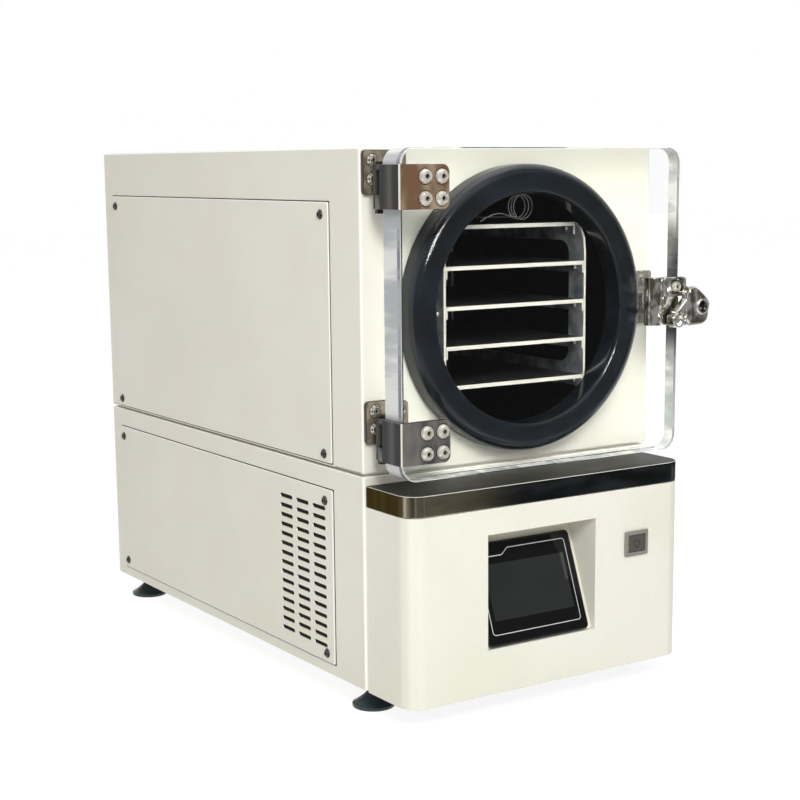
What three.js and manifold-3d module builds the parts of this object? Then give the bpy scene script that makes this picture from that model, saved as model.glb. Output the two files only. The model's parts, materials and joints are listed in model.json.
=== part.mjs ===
// A bench freeze dryer with a clear door: a compressor base with a touch panel in its front cover, and a
// cabinet above it that holds the drying chamber, its shelf rack and the thick hinged door.
// Millimetres, +Z up, front towards -Y. Inside this file X runs from the cabinet's left side, Y from its
// front panel and Z from the underside of its base; the group is moved onto its own origin at the end.
import * as THREE from "three";
import { mergeVertices } from "three/addons/utils/BufferGeometryUtils.js";
import Module from "manifold-3d";

const wasm = await Module();
wasm.setup();

// Driving dimensions
const fit = 0.3; // gap between pieces that touch
const sheet = 1.6; // folded steel sheet
const past = 1; // how far a cut runs beyond its face, and a joined piece into its neighbour
const sides = { hex: 6, few: 8, ports: 10, some: 12, pin: 14, many: 16 }; // flats round a bar

const cabinet = { width: 400, depth: 690, baseTop: 246, seam: 3, top: 606, fold: 4 };
cabinet.bevel = { base: 1, upper: 2 };
cabinet.upperBottom = cabinet.baseTop + cabinet.seam;
cabinet.middle = cabinet.width / 2;

// Side panels: pans that sit in a rebate of the frame. front and back are the distances along Y.
const sidePanel = {
  front: 64, back: 661, gap: 1.2, proud: 1.5, depth: 12, lip: 14, screwFront: 18, screwBack: 12,
  corner: 3, bevel: 1.2,
};
const baseSide = { bottom: 13, top: 222, screwTop: 15, screwBottom: 12 };
const upperSide = { bottom: 250.8, top: 548, screwTop: 15, screwBottom: 11 };
const vents = {
  columns: 3, rows: 15, pitchY: 38.6, pitchZ: 11.7, length: 28.5, height: 4.2, firstY: 96.5, firstZ: 33.4,
};
const rear = { inset: 24, baseBottom: 14, baseTop: 228, upperBottom: 270, upperTop: 584, screwInset: 14 };
const panelScrew = { head: 5, rise: 2.6, crown: 0.72 };

// Openings inside the frame, where the base and the cabinet meet and behind the front cover
const frame = {
  plinth: 8, plinthRim: 3, passage: 40, passageFront: 380, frontX: [60, 340], frontZ: [30, 200], thick: 3,
};

// Cover over the front of the base, and the stainless sill that caps it
const cover = { inset: 3.5, reach: 87, radius: 22, bottom: -2, top: 212.2, wall: 3 };
const collar = { gap: 0.4, wall: 1.6, into: 6, below: 4 };
const sill = { bottom: 212.6, top: 236.5, wall: 2, bevel: 0.6 };
const recess = { left: 108, right: 262, bottom: 50.5, top: 182.5, wall: 2 };
const screen = {
  width: 144, height: 118, thick: 6, corner: 6, bevel: 0.8,
  tilt: 21, footY: -86.3, footZ: 53, centreX: 182.3,
};
screen.body = { half: 55, z: [24, 94], depth: 22, clear: 2 };
const overlay = { border: 2.5, thick: 1.4, sunk: 0.2 };
const power = {
  x: 322.8, z: 145.6, width: 35.6, height: 30.2, border: 4.6, proud: 3.2, corner: 1.5, bevel: 1.2,
  collar: 2.4, collarDepth: 16, hole: 2,
};
const button = { sunk: 0.6, depth: 9, bevel: 0.9, corner: 1.4, stem: 4, stemEnd: 15 };

// Chamber and door
const chamber = { x: 200, z: 425, inner: 142, wall: 4, front: -20, back: 340, facets: 38 };
chamber.outer = chamber.inner + chamber.wall;
const dish = { rise: 16, shoulder: 26, shoulderRise: 10, drop: 14, step: 2, thick: 5 };
const rail = { half: 5, inset: 10, low: 20 };
const gasket = {
  inner: 130, outer: 163, height: 33.2, slotDepth: 21, innerBack: -4, nose: 13, lip: 7, chamfer: [3, 4],
};
const cradle = { half: 110, thick: 3, flange: 24, drop: 70, front: 50, rear: 270 };
const door = { left: 8, right: 398, bottom: 249, top: 605, back: -34, thick: 36, corner: 18, bevel: 1 };
door.front = door.back - door.thick;

// Shelf rack: plates with turned-down ends, bolted to two side frames whose top corners are cut back
const rack = {
  halfWidth: 98, front: -1, depth: 300, count: 5, pitch: 44.7, centreZ: 428, plate: 3, strip: 28,
};
rack.corner = { topBack: 17, topDrop: 33, bottomBack: 14, bottomRise: 16, pull: 8 };
rack.window = { rise: 22, radius: 16 };
const shelf = { sheet: 2, hem: 4.6, lip: 9.5, foot: 4 };
const bolt = { head: 3.8, rise: 2, nut: 3.5, shank: 2.3, drop: 3.2, hole: 2.9 };

// The sensor lead: its gland, how it lies on the top shelf, its coil and its loose end.
// lay and tail are X, Y and the height above the shelf.
const lead = { x: 176, z: 532, exit: 330, straight: 14, radius: 0.8, steps: 60 };
lead.gland = { radius: 4, end: 9 };
lead.lay = [[190, 250, 3], [206, 150, 3], [222, 100, 5]];
lead.coil = { x: 248, front: 62, radius: 14.5, above: 3, pitch: 3, turns: 3, points: 12, start: -2.1708 };
lead.tail = [[224, 48, 8], [208, 46, 13], [194, 46, 8], [184, 48, 2.2]];

// Hinges: a wall leaf with a barrel, a door bracket with two ears, and a pin
const hinge = {
  x: 13, y: -20, barrel: 7, pin: 3.5, bore: 3.8, plate: 6, height: 47, drop: 272, bottom: 540.5,
};
const bracket = {
  left: 1.5, right: 65, flangeBack: -38, corner: 8, screwX: [34.4, 55.2], screwZ: [11.3, 34.3],
  screwLength: 24, tail: { lap: 3, clear: 0.6, lean: 3, shoulder: 1 },
};
const leaf = {
  left: 2, right: 48, thick: 5, height: 48, rise: 14.5, barrelTop: 41, barrelBottom: 15.5, corner: 4,
  bevel: 0.6, strapX: [21, 31], screwX: [13.5, 38], screwZ: [37, 17], screwLength: 5,
  strap: { under: [6.5, -2], middle: [0, -4], over: [3, 5] },
};
const pin = { below: 4, past: 1, capRadius: 6, capTop: 3, nutRadius: 5.1, nutZ: [-5, -1] };
const capScrew = {
  head: 7, rise: 4.4, socket: 3.2, shank: 3.3, clear: 0.4, hole: 25,
  shoulder: [0.85, 0.65], crown: 0.5, key: 0.35,
};

// Latch: a cast housing on the door, a lever whose spindle passes through the door, and a keeper
const latch = {
  x: 386.5, z: 410.5, spindle: 4.5, bore: 4.9, doorBore: 5.6, front: -84, leverBack: -88, leverFront: -102,
  collar: 8, screw: [386, 444], screwLength: 22,
};
const lever = {
  lobes: [[388, 410.5, 11], [406, 412.5, 12.5], [409, 422, 12], [393.5, 436, 11]],
  hole: [407, 421.5, 5.8], rim: 2.2, rimRise: 1.6,
  dish: [386.5, 410.5, 7.5], dishDepth: 4, thumb: [398.5, 404.5, 5.5], thumbDepth: 5, bevel: 2.4,
};
const housing = {
  rib: { x: 354.5, radius: 10.5, out: 5, z: [400, 456] },
  block: { x: [362, 397], z: [433, 456], front: -86, wall: 2.8, floor: -81.5, corner: 5, bevel: 1.2 },
  neck: { x: [361, 387], z: [400, 434], corner: 4, bevel: 1 },
  boss: 9.5,
};
const keeper = {
  left: 369, bottom: 396, top: 460, base: 5, edge: 0.5, corner: 3, bevel: 0.6,
  front: -23, leg: 8, crown: 5.5, crownZ: [420, 434], crownX: [370, 396],
  bolt: { x: 385.5, z: [449, 404.5], radius: 6.4, rise: 3.8 },
  legBolt: { at: [374.5, 427], radius: 2.6, rise: 2 },
};
const finger = { front: -16.8, back: -10.6, half: 4, reach: 21, corner: 3, bevel: 0.6 };

const foot = {
  radius: 25, rim: 4.5, slope: [4, 2], neck: 8, padTop: 11, height: 29, stem: 5, above: 22, nut: 9,
  topNut: 8, insetX: 28, frontY: 28, rearY: 645,
};

// What passes through the rear panels, and their slots
const inlet = {
  x: 96, z: 92, width: 27.6, height: 19.6, clear: 0.5, deep: 24,
  flange: [24, 14, 3.5], corner: 3, bevel: 0.8,
  socket: { half: 11, low: 7.5, chamferX: 7, chamferZ: 3, deep: 16 },
  pins: { across: [-6, 0, 6], up: [-1, 2.5, -1], half: [1, 2] },
};
const vacuumPort = {
  x: 268, z: 436, radius: 13.5, wall: 2, length: 40, into: 20, out: 26, clear: 1,
  wallFlange: { radius: 26, y: [1.8, 6] }, endFlange: { radius: 20, y: [22, 26] },
};
const rearSlots = {
  columns: 3, rows: 5, pitchX: 50, pitchZ: 16, firstX: 206, firstZ: 60, length: 40, height: 6,
};

// Refrigeration and electrics in the base
const pump = {
  x: 190, y: 440, z: 18,
  can: [[0, 0], [54, 0], [61, 12], [61, 108], [50, 134], [22, 144], [0, 145]],
  plate: { half: [78, 70], z: [-4, 2], corner: 14 }, foot: { at: [62, 54], radius: 9, z: [-12, -3] },
  terminal: { x: [-22, 22], y: [-76, -54], z: [48, 92] },
  ports: [[5, [20, 14], [120, 160]], [4, [-24, 6], [120, 156]]],
};
const fan = {
  x: 92, y: 134, z: 115, radius: 62, hub: 20, thick: 20, blades: 5, ahead: 8, shaft: 3, shaftEnd: 19,
};
fan.camber = {
  start: [-10, -13], over: [-7, 2], tip: [9, 13], edge: [10.4, 11.6], under: [-4, 0], end: [-8.2, -13.6],
};
const shroud = {
  x: [66, 100], thick: 3, half: 70, rise: 88, ring: 7, clear: 3, sides: 18, foot: 4,
  bridge: { thick: 4, half: 5, over: 6 }, motor: { radius: 14, x: [102.5, 130], bore: 3.6, boreEnd: 114 },
};
const coil = {
  half: 64, rise: 86, finX: [26, 58], fins: 7, inset: 8, tube: 4.5, tubeX: 42, tubeInset: 14, tubeOut: 6,
  plateX: [22, 62], plate: 2,
};
const controls = { x: [190, 372], y: [238, 262], top: 150, corner: 3, lid: 2, lidBack: 266, lidCorner: 2 };
const hotGas = {
  radius: 4, steps: 22, out: [-24, 6, 157.5], bend: [-26, 4, 200],
  run: [[150, 400, 214], [90, 300, 214], [46, 240, 200]], drop: [42, 222], end: [42, 70.5], level: 72,
};

// Colours and finishes
const finish = (color, roughness, metalness = 0, extra = {}) =>
  new THREE.MeshStandardMaterial({ color, roughness, metalness, ...extra });
const creamPaint = finish(0xeceadd, 0.55);
const stainless = finish(0x8d8a84, 0.28, 1);
const chrome = finish(0xd8d8d6, 0.12, 1);
const shelfSteel = finish(0xd9d5c6, 0.35, 0.8);
const blackRubber = finish(0x15171a, 0.5);
const blackPlastic = finish(0x16171a, 0.4);
const acrylic = finish(0xf4fbfa, 0.04, 0, { transparent: true, opacity: 0.3 });
const copper = finish(0xb87346, 0.3, 1);
const blackPaint = finish(0x202226, 0.5, 0.2);
const aluminium = finish(0xb9bcbe, 0.4, 1);
const zinc = finish(0xb4b4ae, 0.35, 1);

// Solids from three.js geometries
const axes = {
  x: new THREE.Matrix4().makeBasis(
    new THREE.Vector3(0, 1, 0), new THREE.Vector3(0, 0, 1), new THREE.Vector3(1, 0, 0)),
  y: new THREE.Matrix4().makeBasis(
    new THREE.Vector3(1, 0, 0), new THREE.Vector3(0, 0, 1), new THREE.Vector3(0, -1, 0)),
  z: new THREE.Matrix4(),
};

function toSolid(geometry) {
  const bare = geometry.clone();
  bare.deleteAttribute("normal");
  bare.deleteAttribute("uv");
  const merged = mergeVertices(bare, 1e-4);
  const kept = [];
  for (let i = 0; i < merged.index.count; i += 3) {
    const [a, b, c] = [0, 1, 2].map((k) => merged.index.getX(i + k));
    if (a !== b && b !== c && a !== c) kept.push(a, b, c);
  }
  const vertProperties = merged.attributes.position.array;
  const triVerts = new Uint32Array(kept);
  return new wasm.Manifold(new wasm.Mesh({ numProp: 3, vertProperties, triVerts }));
}

function toGeometry(solid) {
  const { numProp, vertProperties, triVerts } = solid.getMesh();
  const geometry = new THREE.BufferGeometry();
  geometry.setAttribute("position", new THREE.InterleavedBufferAttribute(
    new THREE.InterleavedBuffer(vertProperties, numProp), 3, 0));
  geometry.setIndex(new THREE.BufferAttribute(triVerts, 1));
  const flat = geometry.toNonIndexed();
  flat.computeVertexNormals();
  return flat;
}

const join = (...solids) => solids.flat().reduce((a, b) => a.add(b));
const cut = (solid, ...tools) => tools.flat().reduce((a, b) => a.subtract(b), solid);
const ordered = (a, b) => [Math.min(a, b), Math.max(a, b)];
const about = (middle, half) => [middle - half, middle + half];

function box(x, y, z) {
  const size = [x, y, z].map(([from, to]) => to - from);
  const geometry = new THREE.BoxGeometry(...size);
  geometry.translate(...[x, y, z].map(([from, to]) => (from + to) / 2));
  return toSolid(geometry);
}

// A profile drawn in the plane across an axis (x: Y-Z, y: X-Z, z: X-Y), drawn out along that axis.
function prism(shape, axis, [from, to], { bevel = 0, curveSegments = 1 } = {}) {
  const geometry = new THREE.ExtrudeGeometry(shape, {
    depth: to - from - 2 * bevel, curveSegments, steps: 1, bevelEnabled: bevel > 0,
    bevelThickness: bevel, bevelSize: bevel, bevelOffset: -bevel, bevelSegments: 1,
  });
  geometry.translate(0, 0, bevel + (axis === "y" ? -to : from));
  return toSolid(geometry.applyMatrix4(axes[axis]));
}

// A round bar along an axis; at is its place in the plane across that axis.
function bar(axis, radius, at, [from, to], count = sides.many, endRadius = radius) {
  const geometry = new THREE.CylinderGeometry(endRadius, radius, to - from, count);
  geometry.rotateX(Math.PI / 2);
  geometry.translate(0, 0, (to - from) / 2);
  if (axis === "y") geometry.rotateY(Math.PI).translate(at[0], at[1], -from);
  else geometry.translate(at[0], at[1], from);
  return toSolid(geometry.applyMatrix4(axes[axis]));
}

// A round pipe whose centre line passes through the points.
function pipe(points, radius, steps, count) {
  const line = new THREE.CatmullRomCurve3(points.map((p) => new THREE.Vector3(...p)), false, "centripetal");
  return toSolid(new THREE.ExtrudeGeometry(disc(0, 0, radius, count), { steps, extrudePath: line }));
}

function turned(profile, segments) {
  const points = profile.map(([r, y]) => new THREE.Vector2(r, y));
  return toSolid(new THREE.LatheGeometry(points, segments));
}

function polygon(points) {
  return new THREE.Shape(points.map(([a, b]) => new THREE.Vector2(a, b)));
}

function roundedRect([x0, x1], [y0, y1], radius, corners = [true, true, true, true]) {
  const shape = new THREE.Shape();
  const [r0, r1, r2, r3] = corners.map((on) => (on ? radius : 0));
  shape.moveTo(x0 + r0, y0);
  shape.lineTo(x1 - r1, y0);
  if (r1) shape.absarc(x1 - r1, y0 + r1, r1, -Math.PI / 2, 0, false);
  shape.lineTo(x1, y1 - r2);
  if (r2) shape.absarc(x1 - r2, y1 - r2, r2, 0, Math.PI / 2, false);
  shape.lineTo(x0 + r3, y1);
  if (r3) shape.absarc(x0 + r3, y1 - r3, r3, Math.PI / 2, Math.PI, false);
  shape.lineTo(x0, y0 + r0);
  if (r0) shape.absarc(x0 + r0, y0 + r0, r0, Math.PI, 1.5 * Math.PI, false);
  return shape;
}

function slot(x, y, length, height) {
  const half = (length - height) / 2;
  const shape = new THREE.Shape();
  shape.absarc(x + half, y, height / 2, -Math.PI / 2, Math.PI / 2, false);
  shape.absarc(x - half, y, height / 2, Math.PI / 2, 1.5 * Math.PI, false);
  return shape;
}

function disc(x, y, radius, count) {
  return polygon(Array.from({ length: count }, (_, i) => {
    const a = ((i + 0.5) * 2 * Math.PI) / count;
    return [x + radius * Math.cos(a), y + radius * Math.sin(a)];
  }));
}

function mesh(name, solid, material, [x, y, z] = [0, 0, 0]) {
  const part = new THREE.Mesh(toGeometry(solid), material);
  part.name = name;
  part.position.set(x, y, z);
  return part;
}

// A button-headed socket screw pointing into +Y, with its seat at y = 0.
function buttonScrew(x, z, length) {
  const { head, rise, socket, shank, shoulder, crown, key: keyDepth } = capScrew;
  const edge = [head * shoulder[0], rise * shoulder[1]];
  const profile = [[0, 0], [head, 0], edge, [head * crown, rise], [0, rise]];
  const dome = turned(profile, sides.few).rotate([180, 0, 0]).translate([x, 0, z]);
  const stem = bar("y", shank, [x, z], [-past / 2, length], sides.hex);
  const key = bar("y", socket, [x, z], [-rise - past, -rise * keyDepth], sides.hex);
  return cut(join(dome, stem), key);
}

// The domed head of a screw driven into +Y, on a face at y = seat.
function screwHead(x, z, seat) {
  const { head, rise, crown } = panelScrew;
  return turned([[0, -past], [head, -past], [head * crown, rise], [0, rise]], sides.few)
    .rotate([180, 0, 0]).translate([x, seat, z]);
}

// Panels, drawn as a front wall: x along the panel, z up, the outside towards -Y, the wall's face at y = 0
function panelSpan(width, height, inset = 0) {
  return [about(0, width / 2 - inset), about(0, height / 2 - inset)];
}

// The frame's folded rebate that a panel sits in: what it adds to the shell and what it cuts away.
function rebate(width, height) {
  const { depth, lip } = sidePanel;
  const floor = depth + 1;
  const span = panelSpan(width, height);
  const inner = panelSpan(width, height, lip);
  const outer = panelSpan(width, height, -sheet);
  return {
    frame: box(outer[0], [0, floor + sheet], outer[1]),
    opening: join(
      box(span[0], [-past, floor], span[1]),
      box(inner[0], [-past, floor + sheet + past], inner[1]),
    ),
  };
}

// The pan itself, folded from sheet, with its screws and its cut-outs.
function pan(width, height, screws, holes = []) {
  const { gap, proud, depth, corner, bevel } = sidePanel;
  const span = panelSpan(width, height, gap);
  const hollow = panelSpan(width, height, gap + sheet);
  const blank = prism(roundedRect(...span, corner), "y", [-proud, depth], { bevel });
  const inside = box(hollow[0], [-proud + sheet, depth + past], hollow[1]);
  const heads = screws.map(([x, z]) => screwHead(x, z, -proud));
  const shell = cut(blank, inside);
  const vented = holes.length ? cut(shell, prism(holes, "y", [-proud - past, past])) : shell;
  return join(vented, heads);
}

// Where each panel sits: its size, its middle, how it is turned, and its screws.
function sidePlace(side, { bottom, top, screwTop, screwBottom }) {
  const { front, back, screwFront, screwBack } = sidePanel;
  const width = back - front;
  const height = top - bottom;
  const along = side === "left" ? -1 : 1;
  const atX = [-width / 2 + screwFront, width / 2 - screwBack].map((x) => x * along);
  const atZ = [-height / 2 + screwBottom, height / 2 - screwTop];
  return {
    width, height, along,
    position: [side === "left" ? 0 : cabinet.width, (front + back) / 2, (bottom + top) / 2],
    turn: along * 90,
    screws: atX.flatMap((x) => atZ.map((z) => [x, z])),
  };
}

function rearPlace(bottom, top) {
  const width = cabinet.width - 2 * rear.inset;
  const height = top - bottom;
  const x = width / 2 - rear.screwInset;
  const z = height / 2 - rear.screwInset;
  return {
    width, height, along: 1, turn: 180,
    position: [cabinet.middle, cabinet.depth, (bottom + top) / 2],
    screws: [[-x, -z], [x, -z], [-x, z], [x, z]],
  };
}

const onWall = (solid, { turn, position }) => solid.rotate([0, 0, turn]).translate(position);

function sideVents({ along, position }) {
  const holes = [];
  for (let column = 0; column < vents.columns; column++)
    for (let row = 0; row < vents.rows; row++) {
      const y = vents.firstY + column * vents.pitchY;
      const z = vents.firstZ + row * vents.pitchZ;
      holes.push(slot(along * (y - position[1]), z - position[2], vents.length, vents.height));
    }
  return holes;
}

function upperRearHoles({ position: [x0, , z0] }) {
  const { x, z, radius, clear } = vacuumPort;
  return [disc(x0 - x, z - z0, radius + clear, sides.many)];
}

function baseRearHoles({ position: [x0, , z0] }) {
  const { x: inletX, z: inletZ, width, height } = inlet;
  const holes = [roundedRect(about(x0 - inletX, width / 2), about(inletZ - z0, height / 2), 0)];
  for (let column = 0; column < rearSlots.columns; column++)
    for (let row = 0; row < rearSlots.rows; row++) {
      const x = rearSlots.firstX + column * rearSlots.pitchX;
      const z = rearSlots.firstZ + row * rearSlots.pitchZ;
      holes.push(slot(x0 - x, z - z0, rearSlots.length, rearSlots.height));
    }
  return holes;
}

const places = {
  leftBase: sidePlace("left", baseSide),
  rightBase: sidePlace("right", baseSide),
  leftUpper: sidePlace("left", upperSide),
  rightUpper: sidePlace("right", upperSide),
  rearBase: rearPlace(rear.baseBottom, rear.baseTop),
  rearUpper: rearPlace(rear.upperBottom, rear.upperTop),
};

function withRebates(shell, names) {
  const rebates = names.map((name) => {
    const { width, height } = places[name];
    const { frame: lip, opening } = rebate(width, height);
    return { lip: onWall(lip, places[name]), opening: onWall(opening, places[name]) };
  });
  return cut(join(shell, rebates.map((r) => r.lip)), rebates.map((r) => r.opening));
}

// Cabinet
function hollowBox(bottom, top, bevel) {
  const { width, depth, fold } = cabinet;
  const outside = prism(roundedRect([0, width], [0, depth], fold), "z", [bottom, top], { bevel });
  const inside = box([sheet, width - sheet], [sheet, depth - sheet], [bottom + sheet, top - sheet]);
  return cut(outside, inside);
}

function baseShell() {
  const { width, depth, baseTop, upperBottom, bevel } = cabinet;
  const { plinth, plinthRim, passage, frontX, frontZ, thick } = frame;
  const within = (edge, z) => box([edge, width - edge], [edge, depth - edge], z);
  const rim = within(plinth, [baseTop - past, upperBottom - fit]);
  const up = within(passage, [baseTop - plinthRim, upperBottom + past]);
  const forward = box(frontX, [-past, thick], frontZ);
  const footHoles = footPlaces().map((at) => bar("z", foot.stem + 0.5, at, [-past, thick], sides.some));
  const shell = join(hollowBox(0, baseTop, bevel.base), rim);
  return cut(withRebates(shell, ["leftBase", "rightBase", "rearBase"]), up, forward, footHoles);
}

function upperShell() {
  const { upperBottom, top, width, depth, bevel } = cabinet;
  const { passage, passageFront, thick } = frame;
  const mouth = bar("y", chamber.outer + 1, [chamber.x, chamber.z], [-past, thick], chamber.facets);
  const down = box(
    [passage, width - passage], [passageFront, depth - passage], [upperBottom - past, upperBottom + thick]);
  const shell = hollowBox(upperBottom, top, bevel.upper);
  return cut(withRebates(shell, ["leftUpper", "rightUpper", "rearUpper"]), mouth, down);
}

// Front cover, sill, screen and power button
function coverPrism(inset, back, z, bevel = 0) {
  const x = [cover.inset + inset, cabinet.width - cover.inset - inset];
  const y = [-cover.reach + inset, back];
  const outline = roundedRect(x, y, cover.radius - inset, [true, true, false, false]);
  return prism(outline, "z", z, { bevel, curveSegments: 3 });
}

// The recess seen from the side: its floor, its ceiling and a back that leans with the screen.
function recessProfile(offset, front) {
  const tilt = THREE.MathUtils.degToRad(screen.tilt);
  const behind = (screen.thick + fit + offset) / Math.cos(tilt);
  const backAt = (z) => screen.footY + behind + (z - screen.footZ) * Math.tan(tilt);
  const [low, high] = [recess.bottom - offset, recess.top + offset];
  return polygon([[front, low], [backAt(low), low], [backAt(high), high], [front, high]]);
}

function screenTilted(solid) {
  return solid.rotate([-screen.tilt, 0, 0]).translate([screen.centreX, screen.footY, screen.footZ]);
}

function frontCover() {
  const { wall, bottom, top, reach } = cover;
  const skin = cut(
    coverPrism(0, 0, [bottom, top]),
    coverPrism(wall, past, [bottom - past, top + past]),
  );
  const inset = sill.wall + collar.gap;
  const neck = cut(
    coverPrism(inset, 0, [top - collar.into, sill.top - collar.below]),
    coverPrism(inset + collar.wall, past, [top - collar.into - past, sill.top]),
  );
  const { left, right, wall: lining } = recess;
  const walls = prism(recessProfile(lining, -reach + past), "x", [left - lining, right + lining]);
  const hollow = prism(recessProfile(0, -reach - past), "x", [left, right]);
  const { half, z, depth, clear } = screen.body;
  const bodyHole = screenTilted(
    box(about(0, half + clear), [0, depth - clear], [z[0] - clear, z[1] + clear]));
  const buttonHole = powerRect(power.hole, [-past, wall + past], { corner: 0 });
  return cut(join(skin, neck, walls), hollow, bodyHole, buttonHole);
}

function sillCap() {
  const { bottom, top, wall, bevel } = sill;
  return cut(
    coverPrism(0, -fit, [bottom, top], bevel),
    coverPrism(wall, past, [bottom - past, top - wall]),
  );
}

function screenModule() {
  const { width, height, thick, corner, bevel, body } = screen;
  const { border } = overlay;
  const plate = prism(roundedRect(about(0, width / 2), [0, height], corner), "y", [0, thick], { bevel });
  const opening = roundedRect(about(0, width / 2 - border), [border, height - border], corner - border);
  const pocket = prism(opening, "y", [-past, overlay.thick]);
  const back = box(about(0, body.half), [thick - past, thick + body.depth], body.z);
  return screenTilted(join(cut(plate, pocket), back));
}

function screenGlass() {
  const { width, height, corner } = screen;
  const edge = overlay.border + fit;
  const outline = roundedRect(about(0, width / 2 - edge), [edge, height - edge], corner - overlay.border);
  return screenTilted(prism(outline, "y", [overlay.sunk, overlay.thick - fit]));
}

// A rectangle round the power button, drawn out between two depths behind the cover's skin.
function powerRect(inset, [from, to], { bevel = 0, corner = power.corner } = {}) {
  const { x, z, width, height } = power;
  const outline = roundedRect(about(x, width / 2 - inset), about(z, height / 2 - inset), corner);
  return prism(outline, "y", [from - cover.reach, to - cover.reach], { bevel, curveSegments: 2 });
}

function powerBezel() {
  const { proud, bevel, collar: inset, collarDepth, border } = power;
  const rim = powerRect(0, [-proud, -fit], { bevel });
  const neck = powerRect(inset, [-past, collarDepth]);
  return cut(join(rim, neck), powerRect(border, [-proud - past, collarDepth + past], { corner: 0.8 }));
}

function powerButton() {
  const { sunk, depth, bevel, corner, stem, stemEnd } = button;
  const cap = powerRect(power.border + fit, [sunk - power.proud, depth], { bevel, corner });
  const stemY = [depth - past, stemEnd].map((y) => y - cover.reach);
  return join(cap, bar("y", stem, [power.x, power.z], stemY, sides.some));
}

// Chamber
const aroundChamber = (solid) => solid.translate([chamber.x, 0, chamber.z]);

function vessel() {
  const { inner, outer, front, back, facets } = chamber;
  const { rise, shoulder, shoulderRise, drop, step, thick } = dish;
  const outside = [
    [0, back + rise], [outer - shoulder, back + shoulderRise], [outer, back - drop], [outer, front],
  ];
  const inside = [
    [inner, front], [inner, back - drop - step], [inner - shoulder + step, back + shoulderRise - thick],
    [0, back + rise - thick],
  ];
  const shell = turned([...outside, ...inside].reverse(), facets);
  const port = [vacuumPort.x - chamber.x, vacuumPort.z - chamber.z];
  const portEnd = back + vacuumPort.length;
  const portWall = bar("y", vacuumPort.radius + vacuumPort.wall, port, [back + step, portEnd], sides.some);
  const bore = bar("y", vacuumPort.radius, port, [back - vacuumPort.into, portEnd + past], sides.some);
  const glandAt = [lead.x - chamber.x, lead.z - chamber.z];
  const gland = bar("y", lead.gland.radius, glandAt, [lead.exit, back + lead.gland.end], sides.few);
  return aroundChamber(cut(join(shell, vesselRails(), portWall, gland), bore));
}

// The two rails on the vessel's floor that the rack's side frames stand on.
function vesselRails() {
  const { inner, outer, front, back, facets } = chamber;
  const top = shelfLevel(0) - chamber.z - shelf.hem / 2 - shelf.lip - fit;
  const along = [rack.front + rail.inset, rack.front + rack.depth - rail.inset];
  const middle = rack.halfWidth + rack.plate / 2;
  const rails = [-middle, middle].map((x) => box(about(x, rail.half), along, [rail.low - inner, top]));
  return join(rails).intersect(bar("y", outer - past, [0, 0], [front, back], facets));
}

// A thick ring with a rounded nose; a slot in its back grips the chamber's rim.
function doorGasket() {
  const { inner, outer, height, slotDepth, innerBack, nose, lip, chamfer } = gasket;
  const rim = [chamber.inner - fit, chamber.outer + fit];
  const arc = (cx, cy, r, from, to, steps) =>
    Array.from({ length: steps + 1 }, (_, i) => {
      const a = THREE.MathUtils.degToRad(from + ((to - from) * i) / steps);
      return [cx + r * Math.cos(a), cy + r * Math.sin(a)];
    });
  const profile = [
    [rim[0], innerBack], [rim[0], -slotDepth], [rim[1], -slotDepth], [rim[1], -fit],
    [outer - chamfer[0], -fit], [outer, -chamfer[1]],
    ...arc(outer - nose, nose - height, nose, 0, -90, 3),
    ...arc(inner + lip, lip - height, lip, -90, -180, 2),
    [inner, innerBack],
  ];
  return aroundChamber(turned([...profile, profile[0]].reverse(), chamber.facets));
}

function cradlePlate() {
  const { half, thick, flange, drop } = cradle;
  const bottom = cabinet.upperBottom + sheet + fit;
  const wide = about(chamber.x, half);
  const plate = box(wide, [0, thick], [bottom, chamber.z - drop]);
  const base = box(wide, [0, flange], [bottom, bottom + thick]);
  const { x, z, outer, facets } = chamber;
  const saddle = bar("y", outer + fit, [x, z], [-past, flange + past], facets);
  return cut(join(plate, base), saddle);
}

// Shelf rack
const shelfLevel = (i) => rack.centreZ + (i - (rack.count - 1) / 2) * rack.pitch;

const shelfSetback = (i) => (i === rack.count - 1 ? rack.corner.topBack : 0);

// The two bolts at each end of a shelf, as distances behind the rack's front and above a level.
function boltPlaces(i, level) {
  const inset = shelfSetback(i) + rack.strip / 2;
  const up = level - shelf.hem / 2 - bolt.drop;
  return [[inset, up], [rack.depth - inset, up]];
}

function shelfPlate(i) {
  const { halfWidth, depth } = rack;
  const { sheet: t, hem, lip } = shelf;
  const y = [shelfSetback(i), depth - shelfSetback(i)];
  const across = about(0, halfWidth + past);
  const tray = cut(
    box(about(0, halfWidth), y, about(0, hem / 2)),
    box(across, [y[0] + t, y[1] - t], [-hem, hem / 2 - t]),
  );
  const ends = [-1, 1].map((side) =>
    box(ordered(side * halfWidth, side * (halfWidth - t)), y, [-hem / 2 - lip, hem / 2]));
  const holes = boltPlaces(i, 0).map((at) => bar("x", bolt.hole, at, across, sides.hex));
  return cut(join(tray, ends), holes);
}

function rackOutline(bottom, top) {
  const { depth, strip, window } = rack;
  const { topBack, topDrop, bottomBack, bottomRise, pull } = rack.corner;
  const outline = new THREE.Shape();
  outline.moveTo(bottomBack, bottom);
  outline.lineTo(depth - bottomBack, bottom);
  outline.quadraticCurveTo(depth, bottom, depth, bottom + bottomRise);
  outline.lineTo(depth, top - topDrop);
  outline.quadraticCurveTo(depth, top - pull, depth - topBack, top);
  outline.lineTo(topBack, top);
  outline.quadraticCurveTo(0, top - pull, 0, top - topDrop);
  outline.lineTo(0, bottom + bottomRise);
  outline.quadraticCurveTo(0, bottom, bottomBack, bottom);
  outline.holes.push(
    roundedRect([strip, depth - strip], [bottom + window.rise, top - window.rise], window.radius));
  return outline;
}

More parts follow.
